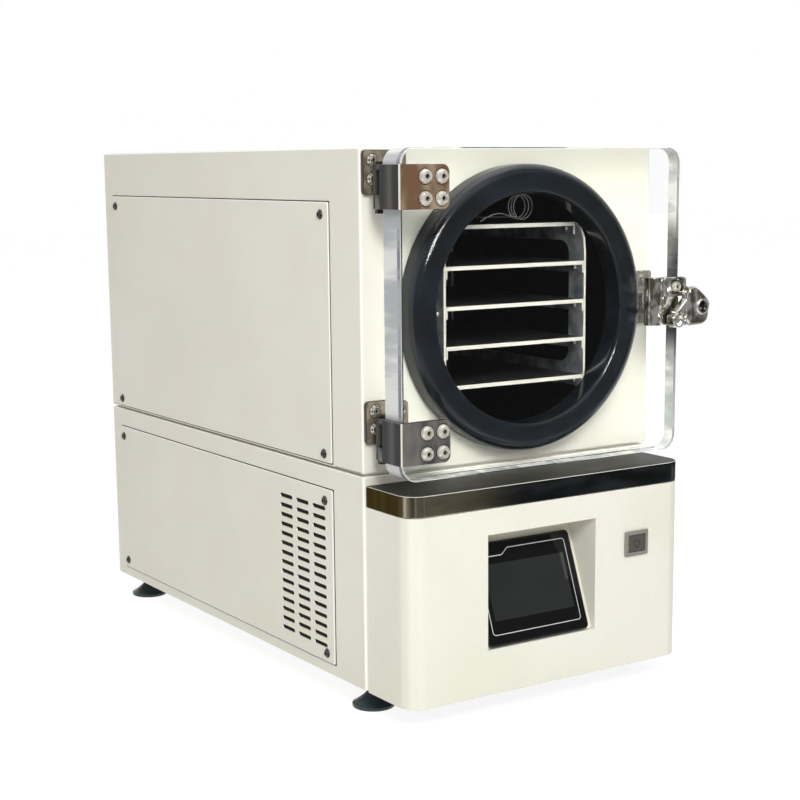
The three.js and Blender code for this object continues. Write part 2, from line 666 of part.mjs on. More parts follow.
// The left side frame: a plate with a large window, its bolts and their nuts behind the shelves' ends.
function rackSide() {
  const { plate, count, halfWidth, centreZ } = rack;
  const top = shelfLevel(count - 1) - centreZ + shelf.hem / 2;
  const bottom = shelfLevel(0) - centreZ - shelf.hem / 2 - shelf.lip + shelf.foot;
  const outer = -halfWidth - fit - plate;
  const inner = -halfWidth + shelf.sheet;
  const body = prism(rackOutline(bottom, top), "x", [outer, outer + plate], { curveSegments: 3 });
  const levels = Array.from({ length: count }, (_, i) => boltPlaces(i, shelfLevel(i) - centreZ)).flat();
  const bolts = levels.flatMap((at) => [
    bar("x", bolt.head, at, [outer - bolt.rise, outer + past / 2], sides.hex),
    bar("x", bolt.shank, at, [outer, inner + past], sides.hex),
    bar("x", bolt.head, at, [inner + fit, inner + bolt.nut], sides.hex),
  ]);
  return join(body, bolts);
}

// A looped sensor lead from a gland in the chamber's back to a rest on the top shelf.
function sensorLead() {
  const top = shelfLevel(rack.count - 1) + shelf.hem / 2;
  const { x, z, exit, straight, lay, coil: loop, tail } = lead;
  const onShelf = (points) => points.map(([px, py, up]) => [px, py, top + up]);
  const loopZ = top + loop.radius + loop.above;
  const turns = Array.from({ length: loop.turns * loop.points + 1 }, (_, i) => {
    const angle = loop.start + (2 * Math.PI * i) / loop.points;
    const y = loop.front - (loop.pitch * i) / loop.points;
    return [loop.x + loop.radius * Math.cos(angle), y, loopZ + loop.radius * Math.sin(angle)];
  });
  const points = [[x, exit - fit, z], [x, exit - straight, z], ...onShelf(lay), ...turns, ...onShelf(tail)];
  return pipe(points, lead.radius, lead.steps, sides.hex);
}

// Door and its hinges
const hingeLevels = { upper: hinge.bottom, lower: hinge.bottom - hinge.drop };

const bracketScrews = bracket.screwX.flatMap((x) => bracket.screwZ.map((z) => [x, z]));

function doorPanel() {
  const { left, right, bottom, top, corner, bevel, front, back } = door;
  const { shank, clear, hole } = capScrew;
  const outline = roundedRect([left, right], [bottom, top], corner);
  const slab = prism(outline, "y", [front, back], { bevel, curveSegments: 2 });
  const bracketHoles = Object.values(hingeLevels).flatMap((level) =>
    bracketScrews.map(([x, z]) => [x, z + level]));
  const holes = [...bracketHoles, latch.screw].map((at) =>
    bar("y", shank + clear, at, [front - past, front + hole], sides.hex));
  const spindleBore = bar("y", latch.doorBore, [latch.x, latch.z], [front - past, back + past]);
  return cut(slab, holes, spindleBore);
}

// The bracket wraps the door's left edge; z = 0 is its lower edge.
function doorBracket() {
  const { plate, height, x, y, barrel, bore } = hinge;
  const { left, right, flangeBack, corner, screwLength, tail } = bracket;
  const front = door.front - fit - plate;
  const outline = roundedRect([left, right], [0, height], corner, [false, true, true, false]);
  const face = prism(outline, "y", [front, front + plate]);
  const flange = box([left, left + plate], [front, flangeBack], [0, height]);
  const ear = (from, to) => {
    const web = polygon([
      [left, flangeBack - tail.lap], [left + plate, flangeBack - tail.lap],
      [left + plate, door.back + tail.clear],
      [x + barrel - tail.shoulder, y - tail.lean], [x, y], [x - barrel + tail.clear, y], [left, flangeBack],
    ]);
    return join(prism(web, "z", [from, to]), bar("z", barrel, [x, y], [from, to]));
  };
  const ears = [ear(0, leaf.barrelBottom - fit), ear(leaf.barrelTop + fit, height)];
  const screws = bracketScrews.map(([sx, sz]) => buttonScrew(sx, sz, screwLength).translate([0, front, 0]));
  const pinHole = bar("z", bore, [x, y], [-past, height + past], sides.pin);
  return join(cut(join(face, flange, ...ears), pinHole), screws);
}

// The wall leaf; z = 0 is the lower edge of the bracket that turns on it.
function wallLeaf() {
  const { x, y, barrel, bore } = hinge;
  const { left, right, thick, height, rise, barrelTop, barrelBottom, corner, bevel, strapX } = leaf;
  const { under, middle: inner, over } = leaf.strap;
  const outline = roundedRect([left, right], [rise, rise + height], corner);
  const plate = prism(outline, "y", [-thick - fit, -fit], { bevel });
  const strapOutline = polygon([
    [strapX[0], -thick], [strapX[1], -thick], ...[under, inner, over].map(([dx, dy]) => [x + dx, y + dy]),
  ]);
  const strap = prism(strapOutline, "z", [barrelBottom, barrelTop]);
  const tube = bar("z", barrel, [x, y], [barrelBottom, barrelTop]);
  const screws = leaf.screwX.flatMap((sx) => leaf.screwZ.map((sz) =>
    buttonScrew(sx, rise + sz, leaf.screwLength).translate([0, -thick - fit, 0])));
  const pinHole = bar("z", bore, [x, y], [-past, rise + height + past], sides.pin);
  return join(cut(join(plate, strap, tube), pinHole), screws);
}

function hingePin() {
  const { x, y, height } = hinge;
  return join(
    bar("z", hinge.pin, [x, y], [-pin.below, height + pin.past], sides.pin),
    bar("z", pin.capRadius, [x, y], [height + fit, height + pin.capTop], sides.pin),
    bar("z", pin.nutRadius, [x, y], pin.nutZ, sides.hex),
  );
}

// Latch: a cast body with a half-round rib, a block with a deep pocket for its screw, a neck, and a boss.
function latchHousing() {
  const { x, z, bore, front, screw, screwLength } = latch;
  const { rib, block, neck, boss } = housing;
  const back = door.front - fit;
  const behind = box(about(rib.x, 2 * rib.radius), [back, 0], [rib.z[0] - past, rib.z[1] + past]);
  const ribbed = cut(bar("z", rib.radius, [rib.x, back - rib.out], rib.z), behind);
  const blockBody = prism(
    roundedRect(block.x, block.z, block.corner), "y", [block.front, back], { bevel: block.bevel });
  const { wall, floor, corner } = block;
  const pocketOutline = roundedRect(
    [block.x[0] + 2 * wall, block.x[1] - wall], [block.z[0] + wall, block.z[1] - wall], corner - 1);
  const pocket = prism(pocketOutline, "y", [block.front - past, floor]);
  const neckBody = prism(
    roundedRect(neck.x, neck.z, neck.corner), "y", [front, back], { bevel: neck.bevel });
  const bossBody = bar("y", boss, [x, z], [front, back]);
  const spindleHole = bar("y", bore, [x, z], [front - past, back + past]);
  const held = buttonScrew(...screw, screwLength).translate([0, floor, 0]);
  return join(cut(join(ribbed, blockBody, neckBody, bossBody), pocket, spindleHole), held);
}

// The outline round a ring of circles, given counter-clockwise: arcs joined by their outer tangents.
function tangentOutline(circles) {
  const leaving = circles.map(([x, y, r], i) => {
    const [nextX, nextY, nextR] = circles[(i + 1) % circles.length];
    const along = Math.atan2(nextY - y, nextX - x);
    return along - Math.acos((r - nextR) / Math.hypot(nextX - x, nextY - y));
  });
  const shape = new THREE.Shape();
  circles.forEach(([x, y, r], i) => {
    const arriving = leaving[(i + circles.length - 1) % circles.length];
    shape.absarc(x, y, r, arriving, leaving[i], false);
  });
  return shape;
}

// Released, the finger points away from the door; a quarter turn brings it up behind the keeper's crown.
function latchLever() {
  const { x, z, spindle, front, leverBack, leverFront, collar: collarRadius } = latch;
  const { lobes, hole, rim, rimRise, dish: hollow, dishDepth, thumb, thumbDepth, bevel } = lever;
  const grip = prism(tangentOutline(lobes), "y", [leverFront, leverBack], { bevel, curveSegments: 2 });
  const ring = bar("y", hole[2] + rim, hole, [leverFront - rimRise, leverFront + 2]);
  const hub = bar("y", collarRadius, [x, z], [leverBack - 2 * past, front - fit]);
  const sunk = ([px, pz, r], depth, count) =>
    bar("y", r, [px, pz], [leverFront - past, leverFront + depth], count, r + 1);
  const hollows = [
    bar("y", hole[2], hole, [leverFront - rimRise - past, leverBack + past]),
    sunk(hollow, dishDepth, sides.many),
    sunk(thumb, thumbDepth, sides.some),
  ];
  const shaft = bar("y", spindle, [x, z], [leverBack - 2 * past, finger.back], sides.pin);
  const outline = roundedRect([x - spindle, x + finger.reach], about(z, finger.half), finger.corner);
  const claw = prism(outline, "y", [finger.front, finger.back], { bevel: finger.bevel });
  return join(cut(join(grip, ring, hub), hollows), shaft, claw);
}

// A base plate on the cabinet with two hexagon bolts, and a post with the crown the finger turns behind.
function latchKeeper() {
  const { left, bottom, top, base, edge, corner, bevel, front, leg, crown, crownZ, crownX } = keeper;
  const seat = -base - fit;
  const outline = roundedRect([left, cabinet.width - edge], [bottom, top], corner);
  const plate = prism(outline, "y", [seat, -fit], { bevel });
  const post = box([crownX[0], crownX[0] + leg], [front, seat + past], crownZ);
  const hook = prism(roundedRect(crownX, crownZ, 2), "y", [front, front + crown], { bevel });
  const { bolt: hex, legBolt } = keeper;
  const bolts = hex.z.map((z) =>
    bar("y", hex.radius, [hex.x, z], [seat - hex.rise, seat + past], sides.hex));
  const small = bar("y", legBolt.radius, legBolt.at, [front - legBolt.rise, front + past], sides.hex);
  return join(plate, post, hook, bolts, small);
}

// Refrigeration and electrics in the base
function compressor() {
  const { plate: base, foot: pad, terminal } = pump;
  const can = turned(pump.can, sides.pin).rotate([90, 0, 0]);
  const outline = roundedRect(about(0, base.half[0]), about(0, base.half[1]), base.corner);
  const plate = prism(outline, "z", base.z);
  const feet = [-1, 1].flatMap((a) => [-1, 1].map((b) =>
    bar("z", pad.radius, [a * pad.at[0], b * pad.at[1]], pad.z, sides.few)));
  const ports = pump.ports.map(([radius, at, z]) => bar("z", radius, at, z, sides.ports));
  return join(can, plate, feet, box(terminal.x, terminal.y, terminal.z), ports);
}

function condenser() {
  const y = about(fan.y, coil.half);
  const z = about(fan.z, coil.rise);
  const pitch = (2 * coil.half - 2 * coil.inset) / (coil.fins - 1);
  const fins = Array.from({ length: coil.fins }, (_, i) =>
    box(coil.finX, about(y[0] + coil.inset + i * pitch, 0.5), z));
  const tubes = [z[0] + coil.tubeInset, z[1] - coil.tubeInset].map((up) =>
    bar("y", coil.tube, [coil.tubeX, up], [y[0] - coil.tubeOut, y[1] + coil.tubeOut], sides.hex));
  const plates = y.map((at) => box(coil.plateX, [at - 1, at - 1 + coil.plate], [sheet + fit, z[1]]));
  return join(fins, tubes, plates);
}

function fanShroud() {
  const { x: [back, front], thick, half, rise, ring, clear, bridge, motor } = shroud;
  const { y, z, radius } = fan;
  const plate = box([back, back + thick], about(y, half), [sheet + fit, z + rise]);
  const tube = bar("x", radius + ring, [y, z], [back + past, front], shroud.sides);
  const base = box([back, front], about(y, half), [sheet + fit, sheet + shroud.foot]);
  const bore = bar("x", radius + clear, [y, z], [back - past, front + past], shroud.sides);
  const rim = cut(join(plate, tube), bore);
  const strut = box([front, front + bridge.thick], about(y, bridge.half), about(z, radius + bridge.over));
  const mount = join(strut, bar("x", motor.radius, [y, z], motor.x));
  const shaftHole = bar("x", motor.bore, [y, z], [front - past, motor.boreEnd], sides.some);
  return join(rim, base, cut(mount, shaftHole));
}

function fanRotor() {
  const { x, y, z, radius, hub, thick, blades, ahead, shaft: shaftRadius, shaftEnd } = fan;
  const { start, over, tip, edge, under, end } = fan.camber;
  const core = bar("x", hub, [0, 0], about(0, thick / 2), sides.some);
  const shaft = bar("x", shaftRadius, [0, 0], [thick / 2 - past, shaftEnd], sides.ports);
  const camber = new THREE.Shape();
  camber.moveTo(...start);
  camber.quadraticCurveTo(...over, ...tip);
  camber.lineTo(...edge);
  camber.quadraticCurveTo(...under, ...end);
  const blade = prism(camber, "z", [hub - 4, radius], { curveSegments: 2 });
  const set = Array.from({ length: blades }, (_, i) => blade.rotate([(360 / blades) * i, 0, 0]));
  return join(core, shaft, set).translate([x - ahead, y, z]);
}

function controlBox() {
  const { x, y, top, corner, lid, lidBack, lidCorner } = controls;
  const body = prism(roundedRect(x, y, corner), "z", [sheet + fit, top]);
  const lidOutline = roundedRect([x[0] - lid, x[1] + lid], [y[1], lidBack], lidCorner);
  const cap = prism(lidOutline, "z", [sheet + fit, top + lid]);
  return join(body, cap);
}

// Hot gas from the compressor to the condenser's top tube.
function dischargeLine() {
  const { radius, steps, out, bend, run, drop, end, level } = hotGas;
  const z = fan.z + level;
  const points = [
    [pump.x + out[0], pump.y + out[1], pump.z + out[2]], [pump.x + bend[0], pump.y + bend[1], bend[2]],
    ...run, [...drop, z], [end[0], fan.y + end[1], z],
  ];
  return pipe(points, radius, steps, sides.hex);
}

function vacuumFitting() {
  const { x, z, radius, wall, length, out, wallFlange, endFlange } = vacuumPort;
  const { depth } = cabinet;
  const y = [chamber.back + length + fit, depth + out];
  const tube = bar("y", radius - 0.5, [x, z], y);
  const flanges = [wallFlange, endFlange].map((ring) =>
    bar("y", ring.radius, [x, z], ring.y.map((at) => depth + at)));
  return cut(join(tube, flanges), bar("y", radius - 0.5 - wall, [x, z], [y[0] - past, y[1] + past]));
}

function powerInlet() {
  const { x, z, width, height, clear, deep, flange, corner, bevel, socket, pins } = inlet;
  const wall = cabinet.depth + sidePanel.proud;
  const [halfX, halfZ, front] = flange;
  const rim = prism(
    roundedRect(about(x, halfX), about(z, halfZ), corner), "y", [wall + fit, wall + front], { bevel });
  const body = box(about(x, width / 2 - clear), [wall - deep, wall + past], about(z, height / 2 - clear));
  const { half, low, chamferX, chamferZ } = socket;
  const outline = polygon([
    [x - half, z - low], [x + half, z - low], [x + half, z + chamferZ], [x + chamferX, z + low],
    [x - chamferX, z + low], [x - half, z + chamferZ],
  ]);
  const hole = prism(outline, "y", [wall - socket.deep, wall + front + past]);
  const reach = [wall - socket.deep - past, wall - past];
  const blades = pins.across.map((across, i) =>
    box(about(x + across, pins.half[0]), reach, about(z + pins.up[i], pins.half[1])));
  return join(cut(join(rim, body), hole), blades);
}

function levellingFoot() {
  const { radius, rim, slope, neck, padTop, height, stem, above, nut, topNut } = foot;
  const profile = [
    [0, 0], [radius, 0], [radius, rim], [radius - slope[0], rim + slope[1]], [neck, height - padTop],
    [0, height - padTop],
  ];
  return join(
    turned(profile, sides.many).rotate([90, 0, 0]),
    bar("z", nut, [0, 0], [height - padTop - past / 2, height - fit], sides.hex),
    bar("z", stem, [0, 0], [height - padTop - past, height + above], sides.few),
    bar("z", nut, [0, 0], [height + sheet + fit, height + sheet + topNut], sides.hex),
  );
}

function footPlaces() {
  const x = [foot.insetX, cabinet.width - foot.insetX];
  return [foot.frontY, foot.rearY].flatMap((y) => x.map((a) => [a, y]));
}

// Assembly
function groupOf(...meshes) {
  const group = new THREE.Group();
  group.add(...meshes.flat());
  return group;
}

function cabinetGroup() {
  const panels = {
    left_base_panel: ["leftBase", sideVents(places.leftBase)],
    right_base_panel: ["rightBase", sideVents(places.rightBase)],
    left_upper_panel: ["leftUpper", []],
    right_upper_panel: ["rightUpper", []],
    rear_base_panel: ["rearBase", baseRearHoles(places.rearBase)],
    rear_upper_panel: ["rearUpper", upperRearHoles(places.rearUpper)],
  };
  const pans = Object.entries(panels).map(([name, [key, holes]]) => {
    const { width, height, screws, position, turn } = places[key];
    const panel = mesh(name, pan(width, height, screws, holes), creamPaint, position);
    panel.rotation.z = THREE.MathUtils.degToRad(turn);
    return panel;
  });
  const feet = ["front_left", "front_right", "rear_left", "rear_right"].map((corner, i) => {
    const [x, y] = footPlaces()[i];
    return mesh(`foot_${corner}`, levellingFoot(), blackPlastic, [x, y, -foot.height]);
  });
  return groupOf(
    mesh("base_shell", baseShell(), creamPaint),
    mesh("upper_shell", upperShell(), creamPaint),
    pans,
    feet,
  );
}

function coverGroup() {
  return groupOf(
    mesh("front_cover", frontCover(), creamPaint),
    mesh("stainless_sill", sillCap(), stainless),
    mesh("touch_panel", screenModule(), blackPlastic),
    mesh("touch_glass", screenGlass(), blackPlastic),
    mesh("power_bezel", powerBezel(), zinc),
    mesh("power_button", powerButton(), stainless),
  );
}

function rackGroup() {
  const side = rackSide();
  const group = groupOf(
    mesh("rack_side_left", side, shelfSteel, [0, 0, rack.centreZ]),
    mesh("rack_side_right", side.mirror([1, 0, 0]), shelfSteel, [0, 0, rack.centreZ]),
  );
  for (let i = 0; i < rack.count; i++)
    group.add(mesh(`shelf_${i + 1}`, shelfPlate(i), shelfSteel, [0, 0, shelfLevel(i)]));
  group.position.set(chamber.x, rack.front, 0);
  return group;
}

function chamberGroup() {
  return groupOf(
    mesh("chamber_vessel", vessel(), stainless),
    mesh("door_gasket", doorGasket(), blackRubber),
    mesh("cradle_front", cradlePlate(), zinc, [0, cradle.front, 0]),
    mesh("cradle_rear", cradlePlate(), zinc, [0, cradle.rear, 0]),
    mesh("sensor_lead", sensorLead(), aluminium),
    rackGroup(),
  );
}

function doorGroup() {
  const hinges = Object.entries(hingeLevels).flatMap(([level, z]) => [
    mesh(`door_bracket_${level}`, doorBracket(), stainless, [0, 0, z]),
    mesh(`hinge_leaf_${level}`, wallLeaf(), stainless, [0, 0, z]),
    mesh(`hinge_pin_${level}`, hingePin(), stainless, [0, 0, z]),
  ]);
  return groupOf(
    mesh("door_panel", doorPanel(), acrylic),
    mesh("latch_housing", latchHousing(), chrome),
    mesh("latch_lever", latchLever(), chrome),
    mesh("latch_keeper", latchKeeper(), stainless),
    hinges,
  );
}

function machineryGroup() {
  return groupOf(
    mesh("compressor", compressor(), blackPaint, [pump.x, pump.y, pump.z]),
    mesh("condenser", condenser(), aluminium),
    mesh("fan_shroud", fanShroud(), blackPaint),
    mesh("fan_rotor", fanRotor(), blackPlastic),
    mesh("control_box", controlBox(), zinc),
    mesh("discharge_line", dischargeLine(), copper),
    mesh("vacuum_fitting", vacuumFitting(), stainless),
    mesh("power_inlet", powerInlet(), blackPlastic),
  );
}

const freezeDryer = groupOf(cabinetGroup(), coverGroup(), chamberGroup(), doorGroup(), machineryGroup());

// The origin is on the ground, under the middle of the whole machine.
const bounds = new THREE.Box3().setFromObject(freezeDryer);
const middle = bounds.getCenter(new THREE.Vector3());
freezeDryer.position.set(-middle.x, -middle.y, -bounds.min.z);

export default freezeDryer;
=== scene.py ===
# Bench freeze dryer: the visible pieces and their finishes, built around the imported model.
# The pieces are drawn in millimetres from the cabinet's lower left front corner and end in metres.
# +Z is up, and the door and the touch panel face -Y.
import json
import math

import bmesh
import bpy
from mathutils import Euler, Matrix, Vector


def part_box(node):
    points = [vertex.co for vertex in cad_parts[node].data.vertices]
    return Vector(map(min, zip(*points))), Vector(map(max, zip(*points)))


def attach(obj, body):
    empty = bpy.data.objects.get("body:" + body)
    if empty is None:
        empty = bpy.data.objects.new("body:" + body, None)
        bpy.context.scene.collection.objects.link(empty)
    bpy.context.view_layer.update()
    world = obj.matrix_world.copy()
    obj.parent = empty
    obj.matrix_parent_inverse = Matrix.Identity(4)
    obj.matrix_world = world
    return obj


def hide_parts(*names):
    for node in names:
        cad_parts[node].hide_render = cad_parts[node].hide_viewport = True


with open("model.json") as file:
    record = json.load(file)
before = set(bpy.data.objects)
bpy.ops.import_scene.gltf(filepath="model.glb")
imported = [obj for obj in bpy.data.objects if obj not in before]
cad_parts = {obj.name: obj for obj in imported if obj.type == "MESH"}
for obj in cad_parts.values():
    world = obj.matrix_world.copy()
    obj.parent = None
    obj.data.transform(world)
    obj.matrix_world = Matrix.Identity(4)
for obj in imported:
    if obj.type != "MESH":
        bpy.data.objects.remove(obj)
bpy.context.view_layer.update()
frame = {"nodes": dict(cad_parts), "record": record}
nodes = frame["nodes"]
bodyOf = {node: body for body, members in frame["record"]["behaviour"]["bodies"].items() for node in members}
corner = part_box("base_shell")[0]
toWorld = Matrix.Translation(corner) @ Matrix.Scale(0.001, 4)
toMillimetres = toWorld.inverted()
print("frame loaded:", len(nodes), "nodes")


def boxOf(node):  # a node's lowest and highest corner, in millimetres from the cabinet's corner
    return [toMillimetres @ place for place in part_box(node)]


def placed(name, data):
    made = bpy.data.objects.new(name, data)
    bpy.context.scene.collection.objects.link(made)
    return made


cameraSetup = {
    "place": (-930.96, -1512.75, 584.06),
    "azimuth": -33.924, "elevation": -9.745, "roll": -0.363,
    "lens": 73.51, "sensor": 36, "shift": (-0.0346, 0.0598),
}


def makeCamera(setup):
    data = bpy.data.cameras.new("camera")
    data.lens, data.sensor_width = setup["lens"], setup["sensor"]
    data.shift_x, data.shift_y = setup["shift"]
    data.clip_start, data.clip_end = 0.05, 30
    camera = placed("camera", data)
    turn = Euler((math.radians(90 + setup["elevation"]), 0, math.radians(setup["azimuth"])))
    roll = Matrix.Rotation(math.radians(setup["roll"]), 4, "Z")
    place = toWorld @ Vector(setup["place"])
    camera.matrix_world = Matrix.Translation(place) @ turn.to_matrix().to_4x4() @ roll
    bpy.context.scene.camera = camera


makeCamera(cameraSetup)


class Port:  # one output socket, so that shader maths reads as an expression
    def __init__(self, graph, socket):
        self.graph, self.socket = graph, socket

    def calc(self, operation, *values):
        return self.graph.add("ShaderNodeMath", dict(enumerate(values)), operation=operation)

    def __add__(self, other):
        return self.calc("ADD", self, other)

    def __sub__(self, other):
        return self.calc("SUBTRACT", self, other)

    def __rsub__(self, other):
        return self.calc("SUBTRACT", other, self)

    def __mul__(self, other):
        return self.calc("MULTIPLY", self, other)

    def __gt__(self, other):
        return self.calc("GREATER_THAN", self, other)

    def __lt__(self, other):
        return self.calc("LESS_THAN", self, other)

    def __abs__(self):
        return self.calc("ABSOLUTE", self)

    def highest(self, other):
        return self.calc("MAXIMUM", self, other)

    def lowest(self, other):
        return self.calc("MINIMUM", self, other)

    def root(self):
        return self.calc("SQRT", self)

    def between(self, low, high):  # 1 inside the two values
        return (self > low) * (self < high)

    def ramp(self, low, high):  # 0 at low, 1 at high, held beyond them
        inputs = {"Value": self, "From Min": low, "From Max": high}
        return self.graph.add("ShaderNodeMapRange", inputs, interpolation_type="SMOOTHSTEP")

    __radd__, __rmul__ = __add__, __mul__


class Graph:  # any node tree: one method makes every node
    def __init__(self, tree):
        self.tree = tree
        self.tree.nodes.clear()

    def add(self, kind, inputs=None, output=0, **settings):  # a colour is three numbers here
        node = self.tree.nodes.new(kind)
        for key, value in settings.items():
            setattr(node, key, value)
        for key, value in (inputs or {}).items():
            socket = node.inputs[key]
            if isinstance(value, Port):
                self.tree.links.new(value.socket, socket)
            else:
                socket.default_value = (*value, 1) if socket.type == "RGBA" else value
        return Port(self, node.outputs[output]) if len(node.outputs) else node

    def mix(self, factor, first, second):
        return self.add("ShaderNodeMix", {0: factor, 6: first, 7: second}, output=2, data_type="RGBA")


class Paint(Graph):  # a material
    def __init__(self, name):
        self.material = bpy.data.materials.new(name)
        self.material.use_nodes = True
        super().__init__(self.material.node_tree)

    def spot(self, stretch=(1, 1, 1)):
        place = self.add("ShaderNodeTexCoord", output="Object")
        return self.add("ShaderNodeMapping", {"Vector": place, "Scale": stretch})

    def along(self, axis, source="Object"):  # one coordinate: metres of the object, or its outward direction
        place = self.add("ShaderNodeTexCoord", output=source)
        return self.add("ShaderNodeSeparateXYZ", {0: place}, output="XYZ".index(axis))

    def place(self, axis):  # one coordinate in millimetres from the cabinet's corner
        return (self.along(axis) - corner["XYZ".index(axis)]) * 1000

    def noise(self, size, detail=2, stretch=(1, 1, 1)):
        inputs = {"Vector": self.spot(stretch), "Scale": 1 / size, "Detail": detail}
        return self.add("ShaderNodeTexNoise", inputs)

    def streaks(self, size, axis, detail=3):  # a noise drawn out along one axis
        stretch = [0.04 if name == axis else 1 for name in "XYZ"]
        return self.noise(size, detail, stretch)

    def relief(self, height, depth, strength=1.0):
        return self.add("ShaderNodeBump", {"Height": height, "Distance": depth, "Strength": strength})

    def surface(self, colour, roughness, bumps=None, **more):  # bumps are a height, its depth and its strength
        inputs = {key.replace("_", " "): value for key, value in more.items()}
        inputs.update({"Base Color": colour, "Roughness": roughness})
        if bumps:
            inputs["Normal"] = self.relief(*bumps)
        return self.out(self.add("ShaderNodeBsdfPrincipled", inputs))

    def out(self, shader):
        self.add("ShaderNodeOutputMaterial", {"Surface": shader})
        return self.material


def powderCoat(name="cream_paint", paleEdgeHighlight=False):  # baked cream paint: orange peel, faint clouding; with paleEdgeHighlight, a painted pale highlight along its bevelled edges
    paint = Paint(name)
    peel = paint.noise(0.0012, 3)
    speck = paint.noise(0.0018, 4)
    cloud = paint.noise(0.16, 3)
    blush = paint.noise(0.10, 2, (1, 1, 1.7))
    colour = paint.mix(cloud.ramp(0.3, 0.7), (0.765, 0.755, 0.635), (0.815, 0.795, 0.700))
    colour = paint.mix(speck.ramp(0.5, 0.75) * 0.45, colour, (0.70, 0.68, 0.58))
    if paleEdgeHighlight:
        colour = paint.mix(blush.ramp(0.42, 0.7) * 0.6, colour, (0.800, 0.740, 0.640))
        # painted highlight: the bevels, between the flat faces, turn pale
        turns = [abs(paint.along(axis, "Normal")) for axis in "XYZ"]
        flat = turns[0].highest(turns[1]).highest(turns[2])
        colour = paint.mix(1 - flat.ramp(0.90, 0.985), colour, (0.96, 0.945, 0.88))
    return paint.surface(colour, 0.40 + 0.10 * peel + 0.05 * cloud, (peel, 0.00006, 0.6))


def darkMirror():  # the polished cap, its reflections painted into its colour: a near-black painted reflection in front, a painted brown reflection to its left, painted pale reflection lines down its round corners, a painted highlight on its top rim, and a dark painted tone on its end and top
    paint = Paint("polished_cap")
    facingX, facingZ = paint.along("X", "Normal"), paint.along("Z", "Normal")
    x = paint.place("X")
    grain = paint.streaks(0.004, "X")
    cloud = paint.noise(0.05, 3, (1, 1, 3))
    # painted dark reflection on the front faces, and a painted brown reflection towards the left end
    front = paint.mix(cloud.ramp(0.35, 0.7), (0.035, 0.040, 0.042), (0.095, 0.105, 0.112))
    warmReflection = (1 - x.ramp(45, 160)) * (0.45 + 0.9 * cloud)
    front = paint.mix(warmReflection * 0.9, front, (0.50, 0.44, 0.29))
    # painted dark brown reflection on the left end face
    end = paint.mix(paint.streaks(0.012, "Z"), (0.030, 0.023, 0.011), (0.085, 0.070, 0.040))
    colour = paint.mix(facingX.ramp(-0.96, -0.88), end, front)
    # painted pale reflection on the round corner, and painted pale reflection lines beside it
    rounding = facingX.ramp(-0.92, -0.82) * (1 - facingX.ramp(-0.64, -0.55))
    colour = paint.mix(rounding * 0.85, colour, (0.14, 0.125, 0.095))
    reflectionLines = facingX.between(-0.54, -0.48) + facingX.between(-0.13, -0.08) * 0.6 + facingX.between(0.5, 0.7) * 0.2
    colour = paint.mix(reflectionLines * 0.7, colour, (0.80, 0.75, 0.62))
    # the top face: a dark painted tone, lighter towards its right end, and not metal
    level = facingZ.ramp(0.6, 0.9)
    top = paint.mix(cloud, (0.020, 0.019, 0.016), (0.034, 0.033, 0.028))
    top = paint.mix(x.ramp(300, 380) * 0.7, top, (0.03, 0.03, 0.026))
    # painted highlight along the top rim
    rim = facingZ.between(0.2, 0.8)
    colour = paint.mix(rim, paint.mix(level, colour, top), (0.85, 0.82, 0.75))
    return paint.surface(colour, 0.10 + 0.10 * grain + 0.14 * level, (grain, 0.00003, 0.3),
                         Metallic=(1 - level) * (1 - rim), Specular_Tint=(0.25, 0.24, 0.22), Specular_IOR_Level=0.03)


def hingeSteel():  # brown in front higher up and grey lower down; a painted highlight on the bright fold, painted shade on the dark rims and on the near-black flank, and a painted highlight streak along the flank
    paint = Paint("hinge_steel")
    facingX, facingY = paint.along("X", "Normal"), paint.along("Y", "Normal")
    y, z = paint.place("Y"), paint.place("Z")
    brushed = paint.streaks(0.0016, "X")
    cloud = paint.noise(0.022, 3, (1, 1, 0.5))
    warm = paint.mix(cloud.ramp(0.35, 0.65), (0.235, 0.135, 0.075), (0.50, 0.39, 0.27))
    cool = paint.mix(cloud.ramp(0.35, 0.65), (0.09, 0.09, 0.096), (0.24, 0.225, 0.205))
    front = paint.mix(z.ramp(330, 500), cool, warm)
    # painted highlight streak on the flank; the flank's near black is painted shade
    flankHighlight = y.ramp(-66, -58) * (1 - y.ramp(-58, -45)) * (0.4 + 0.8 * cloud)
    flank = paint.mix(flankHighlight, (0.006, 0.005, 0.005), (0.075, 0.068, 0.062))
    # painted highlight on the fold, then painted shade on the rims
    side = paint.mix(facingX.ramp(-0.97, -0.90), flank, (0.92, 0.88, 0.78))
    side = paint.mix(facingX.ramp(-0.35, -0.2), side, (0.022, 0.018, 0.015))
    colour = paint.mix(facingY < -0.95, side, front)
    return paint.surface(colour, 0.24 + 0.14 * brushed, (brushed, 0.00005, 0.4), Metallic=0.5)


def leafSteel():
    paint = Paint("leaf_steel")
    facingY = paint.along("Y", "Normal")
    brushed = paint.streaks(0.0016, "X")
    cloud = paint.noise(0.014, 3)
    plain = paint.mix(cloud.ramp(0.3, 0.7), (0.17, 0.14, 0.10), (0.50, 0.43, 0.33))
    # painted shade: every face but the front is dark
    colour = paint.mix(facingY < -0.95, (0.05, 0.042, 0.034), plain)
    return paint.surface(colour, 0.24 + 0.12 * brushed, (brushed, 0.00005, 0.4), Metallic=0.5)


def castChrome():  # a polished casting, all reflection: its dark and bright patches are painted reflections, with a faint ripple and a warm or green cast
    paint = Paint("cast_chrome")
    ripple = paint.noise(0.014, 2)
    reflectionPatch = paint.noise(0.012, 2, (1, 1, 0.6))
    colour = paint.mix(reflectionPatch.ramp(0.40, 0.60), (0.24, 0.22, 0.17), (0.90, 0.89, 0.85))
    return paint.surface(colour, 0.06 + 0.08 * reflectionPatch, (ripple, 0.0016, 0.55), Metallic=0.92)


